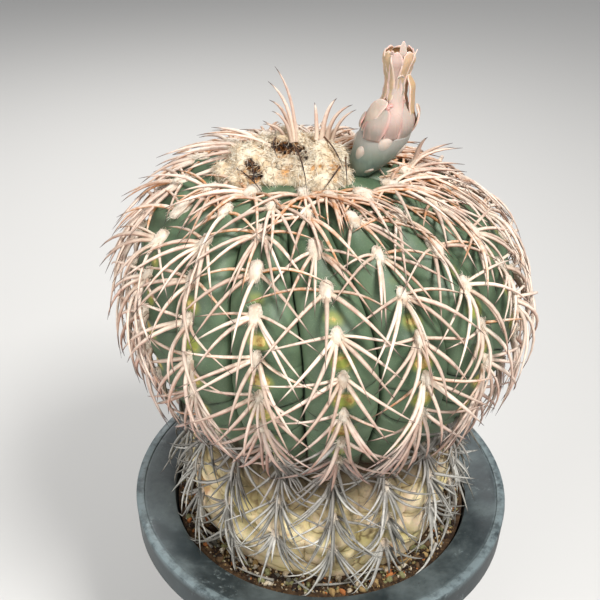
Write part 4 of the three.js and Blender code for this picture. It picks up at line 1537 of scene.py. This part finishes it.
def turned_about_axis(outline, columns, rows):
    """A closed body that follows the flower's axis."""
    heights = np.linspace(outline[0][0], outline[-1][0], rows)
    curve = smooth_curve(outline)
    points = [
        around_axis(height, 2 * math.pi * column / columns, radius_on(curve, height))
        for height in heights for column in range(columns)
    ]
    points += [around_axis(heights[0], 0, 0), around_axis(heights[-1], 0, 0)]
    return points, capped_faces(rows, columns)


def half_width_along(along, half, foot, round_from):
    """Half the width of a petal: narrower at its foot, full in the middle, with a rounded end."""
    rise = lerp(foot, 1, float(smoothstep(along, 0, 0.4)))
    end = max(0, (along - round_from) / (1 - round_from))
    return half * rise * math.sqrt(max(0.015, 1 - end ** 2))


def petal(degrees, stations, half, foot, round_from, thickness, cup=0.0, turn=0.0, wave=0.15,
          rows=18, columns=12):
    """A closed thin blade along (height, radius) stations, wrapped round the flower's axis.
    Returns its points, its faces and, for each point, how near the margin it is, how far along,
    and whether it is on the inside. A positive cup curls the margins outwards."""
    azimuth = math.radians(degrees)
    line = smooth_curve(stations, 8)
    spacing = distances_along(line)
    grid, margin, alongs = [], [], []
    for row in range(rows):
        along = row / (rows - 1)
        height, radius = (float(np.interp(along * spacing[-1], spacing, values)) for values in line.T)
        width = half_width_along(along, half, foot, round_from)
        for column in range(columns):
            across = 2 * column / (columns - 1) - 1
            angle = azimuth + turn * along + across * width / max(radius, 2.5)
            ripple = wave * noise.noise(Vector((3 * angle, 0.35 * height, azimuth))) * (0.4 + abs(across))
            lift = cup * across ** 2 * width * 0.3
            grid.append(around_axis(height, angle, radius + lift + ripple))
            margin.append(max(abs(across), max(0, along - 0.8) / 0.2))
            alongs.append(along)
    grid = np.array(grid).reshape(rows, columns, 3)
    normals = np.cross(np.gradient(grid, axis=1), np.gradient(grid, axis=0))
    normals /= np.linalg.norm(normals, axis=2)[:, :, None] + 1e-9
    points = np.vstack([grid.reshape(-1, 3), (grid - normals * thickness).reshape(-1, 3)])
    count = rows * columns
    outer_faces = grid_faces(rows, columns, False)
    faces = outer_faces + [tuple(count + i for i in reversed(face)) for face in outer_faces]
    index = np.arange(count).reshape(rows, columns)
    border = np.concatenate([index[0], index[1:, -1], index[-1, -2::-1], index[-2:0:-1, 0]]).tolist()
    for here, beside in zip(border, border[1:] + border[:1]):
        faces.append((beside, here, count + here, count + beside))
    return points, faces, np.tile(margin, 2), np.tile(alongs, 2), np.repeat((0, 1), count)


class Blades:
    """Petals or scales collected into one mesh, with what each point is painted by."""

    def __init__(self, *labels):
        self.points, self.faces = [], []
        self.values = {label: [] for label in labels}

    def add(self, points, faces, **values):
        first = len(self.points)
        self.points.extend(points)
        self.faces.extend(tuple(first + i for i in face) for face in faces)
        for label, collected in self.values.items():
            collected.extend(np.broadcast_to(values.get(label, 0), len(points)))

    def piece(self, name, material):
        piece = add_closed_piece(name, self.points, self.faces, material)
        for label, values in self.values.items():
            point_values(piece.data, label, values)
        return piece


# Azimuth in degrees, height of the foot, length and half width of each scale on the tube
TUBE_SCALES = [
    (-48, 168.5, 8.5, 2.9), (0, 174.5, 7.5, 3.8), (60, 169.5, 8, 2.7), (112, 174, 8, 3.2),
    (165, 169.5, 8, 2.6), (-145, 174.5, 8, 3.2), (-100, 171.5, 8, 2.8), (10, 164, 4, 2.2),
    (150, 164.5, 4, 2.2), (-100, 164.5, 4, 2.2),
]
# A form is a blade's foot, the start of its rounded end, its thickness, cup, turn and wave, and its
# rows and columns. The last ones may be left out.
SCALE_FORM = (0.6, 0.35, 0.7, -0.9)
BULB_FORM = (0.75, 0.5, 0.6, -0.3, 0.06)
COLUMN_FORM = (0.8, 0.8, 0.45, 0.3, -0.1, 0.6)
KNOT_FORM = (0.6, 0.4, 0.9, -0.5, 0, 1.2, 10, 8)
TIP_FORM = (0.9, 0.1, 0.4)
# Columns and rows of the bodies that the scales and the petals stand on
TUBE_GRID = (56, 34)
CORE_GRID = (48, 48)
# How far a scale stands off the tube, along its length
SCALE_LIFTS = [(0, -0.7), (0.25, -0.1), (0.6, 0.5), (0.85, 0.65), (1, 0.15)]

# Each broad petal round the bulb: azimuth in degrees, foot and top height, half width, how far it
# stands out, then its shares of grey-green and pink
BULB_PETALS = [
    (150, 180, 193, 6.0, 0.0, 0.5, 0.1), (-150, 180, 193, 6.0, 0.3, 0.4, 0.1),
    (-100, 180.5, 190, 4.6, 0.2, 0.5, 0.0), (100, 180, 192, 5.5, 0.4, 0.4, 0.1),
    (48, 179.8, 194.5, 5.4, 0.3, 0.3, 0.15), (6, 180.6, 203, 3.4, 0.5, 0.0, 0.2),
    (-36, 180, 192.4, 5.3, 0.95, 0.45, 0.15), (-90, 182.5, 188.6, 2.3, 1.2, 0.1, 0.05),
]
BULB_LIFTS = [(0, 0.2), (0.3, 0.75), (0.6, 0.8), (0.85, 0.6), (1, 0.45)]
# Each petal of the closed column: azimuth in degrees, top height, flare, half width, then its
# shares of grey-green, pink and tan
COLUMN_PETALS = [
    (180, 213.3, 4.0, 3.4, 0.5, 0.0, 0.2), (128, 213.6, 4.6, 3.4, 0.1, 0.1, 0.3),
    (-130, 213.6, 4.6, 3.4, 0.2, 0.1, 0.4), (88, 213.6, 5.2, 3.2, 0.2, 0.1, 0.5),
    (-86, 213.2, 5.2, 3.2, 0.0, 0.1, 0.6), (-48, 213.4, 4.9, 3.0, 0.3, 0.0, 0.55),
    (48, 213.6, 4.9, 3.4, 0.1, 0.05, 0.6), (-6, 213.6, 4.6, 2.6, 0.05, 0.16, 0.0),
    (22, 205, 4.9, 1.8, 0.5, 0.0, 0.1),
]
COLUMN_STATIONS = [(189, 6.9), (193.5, 4.9), (198, 4.2), (203, 4.3), (207, 5.2), (210.5, 6.0)]
# Single petals: azimuth, stations, half width, shares of grey-green, pink and tan, then the form
SINGLE_PETALS = [
    # The shoulder petal curls over at the left, towards the front
    (-66, [(184.5, 9.9), (188, 10.2), (191, 9.6), (193.4, 8.2), (195.2, 6.0)], 3.9,
     (0.05, 0, 0.1), (0.6, 0.7, 0.8, -0.5, 0.4)),
    # A lobe and a long narrow petal stand off at the right
    (84, [(182, 9.9), (186, 10.9), (189.5, 10.8), (192.5, 9.0)], 3.0, (0, 0.05, 0.5), (0.6, 0.5, 0.7, 0.3)),
    (66, [(189, 8.6), (192.5, 7.8), (196.5, 7.3), (200.5, 6.9), (204.5, 4.6)], 2.6,
     (0, 0, 0.75), (0.7, 0.6, 0.55, 0.35)),
    # Pointed tips at the mouth
    (16, [(208, 4.4), (212, 4.6), (215, 4.2), (217.3, 3.6)], 1.7, (0, 0, 0), (0.9, 0.1, 0.5)),
    (72, [(207, 4.6), (211, 6.0), (214, 6.9)], 1.3, (0, 0, 0), TIP_FORM),
    (-30, [(207, 4.4), (211, 5.2), (214, 5.6)], 1.4, (0.1, 0.1, 0), TIP_FORM),
]
# Crumpled pink folds where the shoulder meets the column: azimuth, height, radius and size
PINK_KNOT = [(-22, 192.4, 6.3, 1.3), (-12, 193.2, 5.9, 1.0), (-33, 193.0, 6.4, 1.0), (-16, 190.8, 7.2, 0.8)]


def make_flower_tube():
    blades = Blades("margin", "is_scale")
    blades.add(*turned_about_axis(TUBE_OUTLINE, *TUBE_GRID))
    curve = smooth_curve(TUBE_OUTLINE)
    for degrees, foot, length, half in TUBE_SCALES:
        stations = []
        for part, lift in SCALE_LIFTS:
            height = foot + part * length
            stations.append((height, radius_on(curve, min(height, TUBE_OUTLINE[-1][0])) + lift))
        points, faces, margin, along, _ = petal(degrees, stations, half, *SCALE_FORM)
        faded = smoothstep(along, 0.05, 0.8) * (1 - 0.5 * smoothstep(margin, 0.55, 1))
        blades.add(points, faces, margin=margin, is_scale=faded)
    finish_piece(blades.piece("flower_tube_skin", TUBE_SKIN), "flower_tube")


def make_petals():
    blades = Blades("margin", "cool", "inside", "blush")
    blades.add(*turned_about_axis(CORE_OUTLINE, *CORE_GRID), cool=0.4)
    core = smooth_curve(CORE_OUTLINE)

    def add_petal(degrees, stations, half, shares, form, at_bulb=False):
        cool, pink, tan = shares
        points, faces, margin, along, inside = petal(degrees, stations, half, *form)
        edge = smoothstep(margin, 0.6, 1)
        blush = pink + 0.12 * edge
        if at_bulb:
            blush = pink * (1 - along) * 1.6 + 0.45 * edge * np.minimum(1, 3 * along)
            cool = cool + 1.3 * np.maximum(0, 1 - along * 2.2)
        blades.add(
            points, faces, margin=margin, cool=np.minimum(1, cool), blush=np.minimum(1, blush),
            inside=np.maximum(tan, 0.75 * inside),
        )

    for degrees, foot, top, half, extra, cool, pink in BULB_PETALS:
        heights = [lerp(foot, top, part) for part, _ in BULB_LIFTS]
        stations = [(at, radius_on(core, at) + lift + extra) for at, (_, lift) in zip(heights, BULB_LIFTS)]
        add_petal(degrees, stations, half, (cool, pink, 0), BULB_FORM, at_bulb=True)
    for degrees, top, flare, half, *shares in COLUMN_PETALS:
        stations = [station for station in COLUMN_STATIONS if station[0] < top] + [(top, flare)]
        add_petal(degrees, stations, half, shares, COLUMN_FORM)
    for single_petal in SINGLE_PETALS:
        add_petal(*single_petal)
    for degrees, height, radius, size in PINK_KNOT:
        stations = [(height - size, radius), (height, radius + 0.8), (height + size, radius - 0.2)]
        add_petal(degrees, stations, size, (0, 0.5, 0), KNOT_FORM)
    finish_piece(blades.piece("petals", PETAL_SKIN), "flower_petals")


# ---------------------------------------------------------------- floor, light and camera

def make_floor():
    material = Look("studio_floor", Roughness=0.9, Base_Color=srgb(214, 212, 208)).material
    corners = [(x * FLOOR_REACH, y * FLOOR_REACH, 0) for x, y in ((-1, -1), (1, -1), (1, 1), (-1, 1))]
    add_piece("studio_floor", corners, [(0, 1, 2, 3)], material)


def make_studio():
    bpy.context.scene.view_settings.view_transform = "Standard"
    world = bpy.data.worlds.new("soft_room")
    world.use_nodes = True
    background = world.node_tree.nodes["Background"]
    background.inputs["Color"].default_value = srgb(226, 228, 232)
    background.inputs["Strength"].default_value = ROOM_LIGHT
    bpy.context.scene.world = world
    target = Vector((0, 0, POT_HEIGHT + LIGHT_TARGET))
    for name, place, size, power in LIGHTS:
        light = bpy.data.lights.new(name, "AREA")
        light.size = size * MM
        light.energy = power
        holder = link_new(name, light)
        holder.location = Vector(place) * MM
        holder.rotation_euler = (target - Vector(place)).to_track_quat("-Z", "Y").to_euler()


def make_camera():
    pitch, yaw, roll = (math.radians(degrees) for degrees in (CAMERA_PITCH, CAMERA_YAW, CAMERA_ROLL))
    forward = Vector((math.sin(yaw) * math.cos(pitch), math.cos(yaw) * math.cos(pitch), -math.sin(pitch)))
    level_right = Vector((math.cos(yaw), -math.sin(yaw), 0))
    level_up = level_right.cross(forward)
    right = level_right * math.cos(roll) + level_up * math.sin(roll)
    up = level_up * math.cos(roll) - level_right * math.sin(roll)
    camera = bpy.data.cameras.new("camera")
    camera.lens = CAMERA_LENS
    camera.sensor_width = SENSOR_WIDTH
    place = Vector(CAMERA_PLACE) + Vector((0, 0, POT_HEIGHT))
    holder = link_new("camera", camera)
    turn = Matrix((right, up, -forward)).transposed().to_4x4()
    holder.matrix_world = Matrix.Translation(place * MM) @ turn
    bpy.context.scene.camera = holder


# ---------------------------------------------------------------- assembly

make_camera()
make_studio()
make_floor()
make_pot()
make_soil()
make_grit()
stem = make_stem()
finish_piece(stem, "cactus")
areoles = seat_areoles(stem)
make_areole_wool(areoles)
make_spines(areoles)
make_crown_wool()
make_crown_spines()
make_flower_tube()
make_petals()
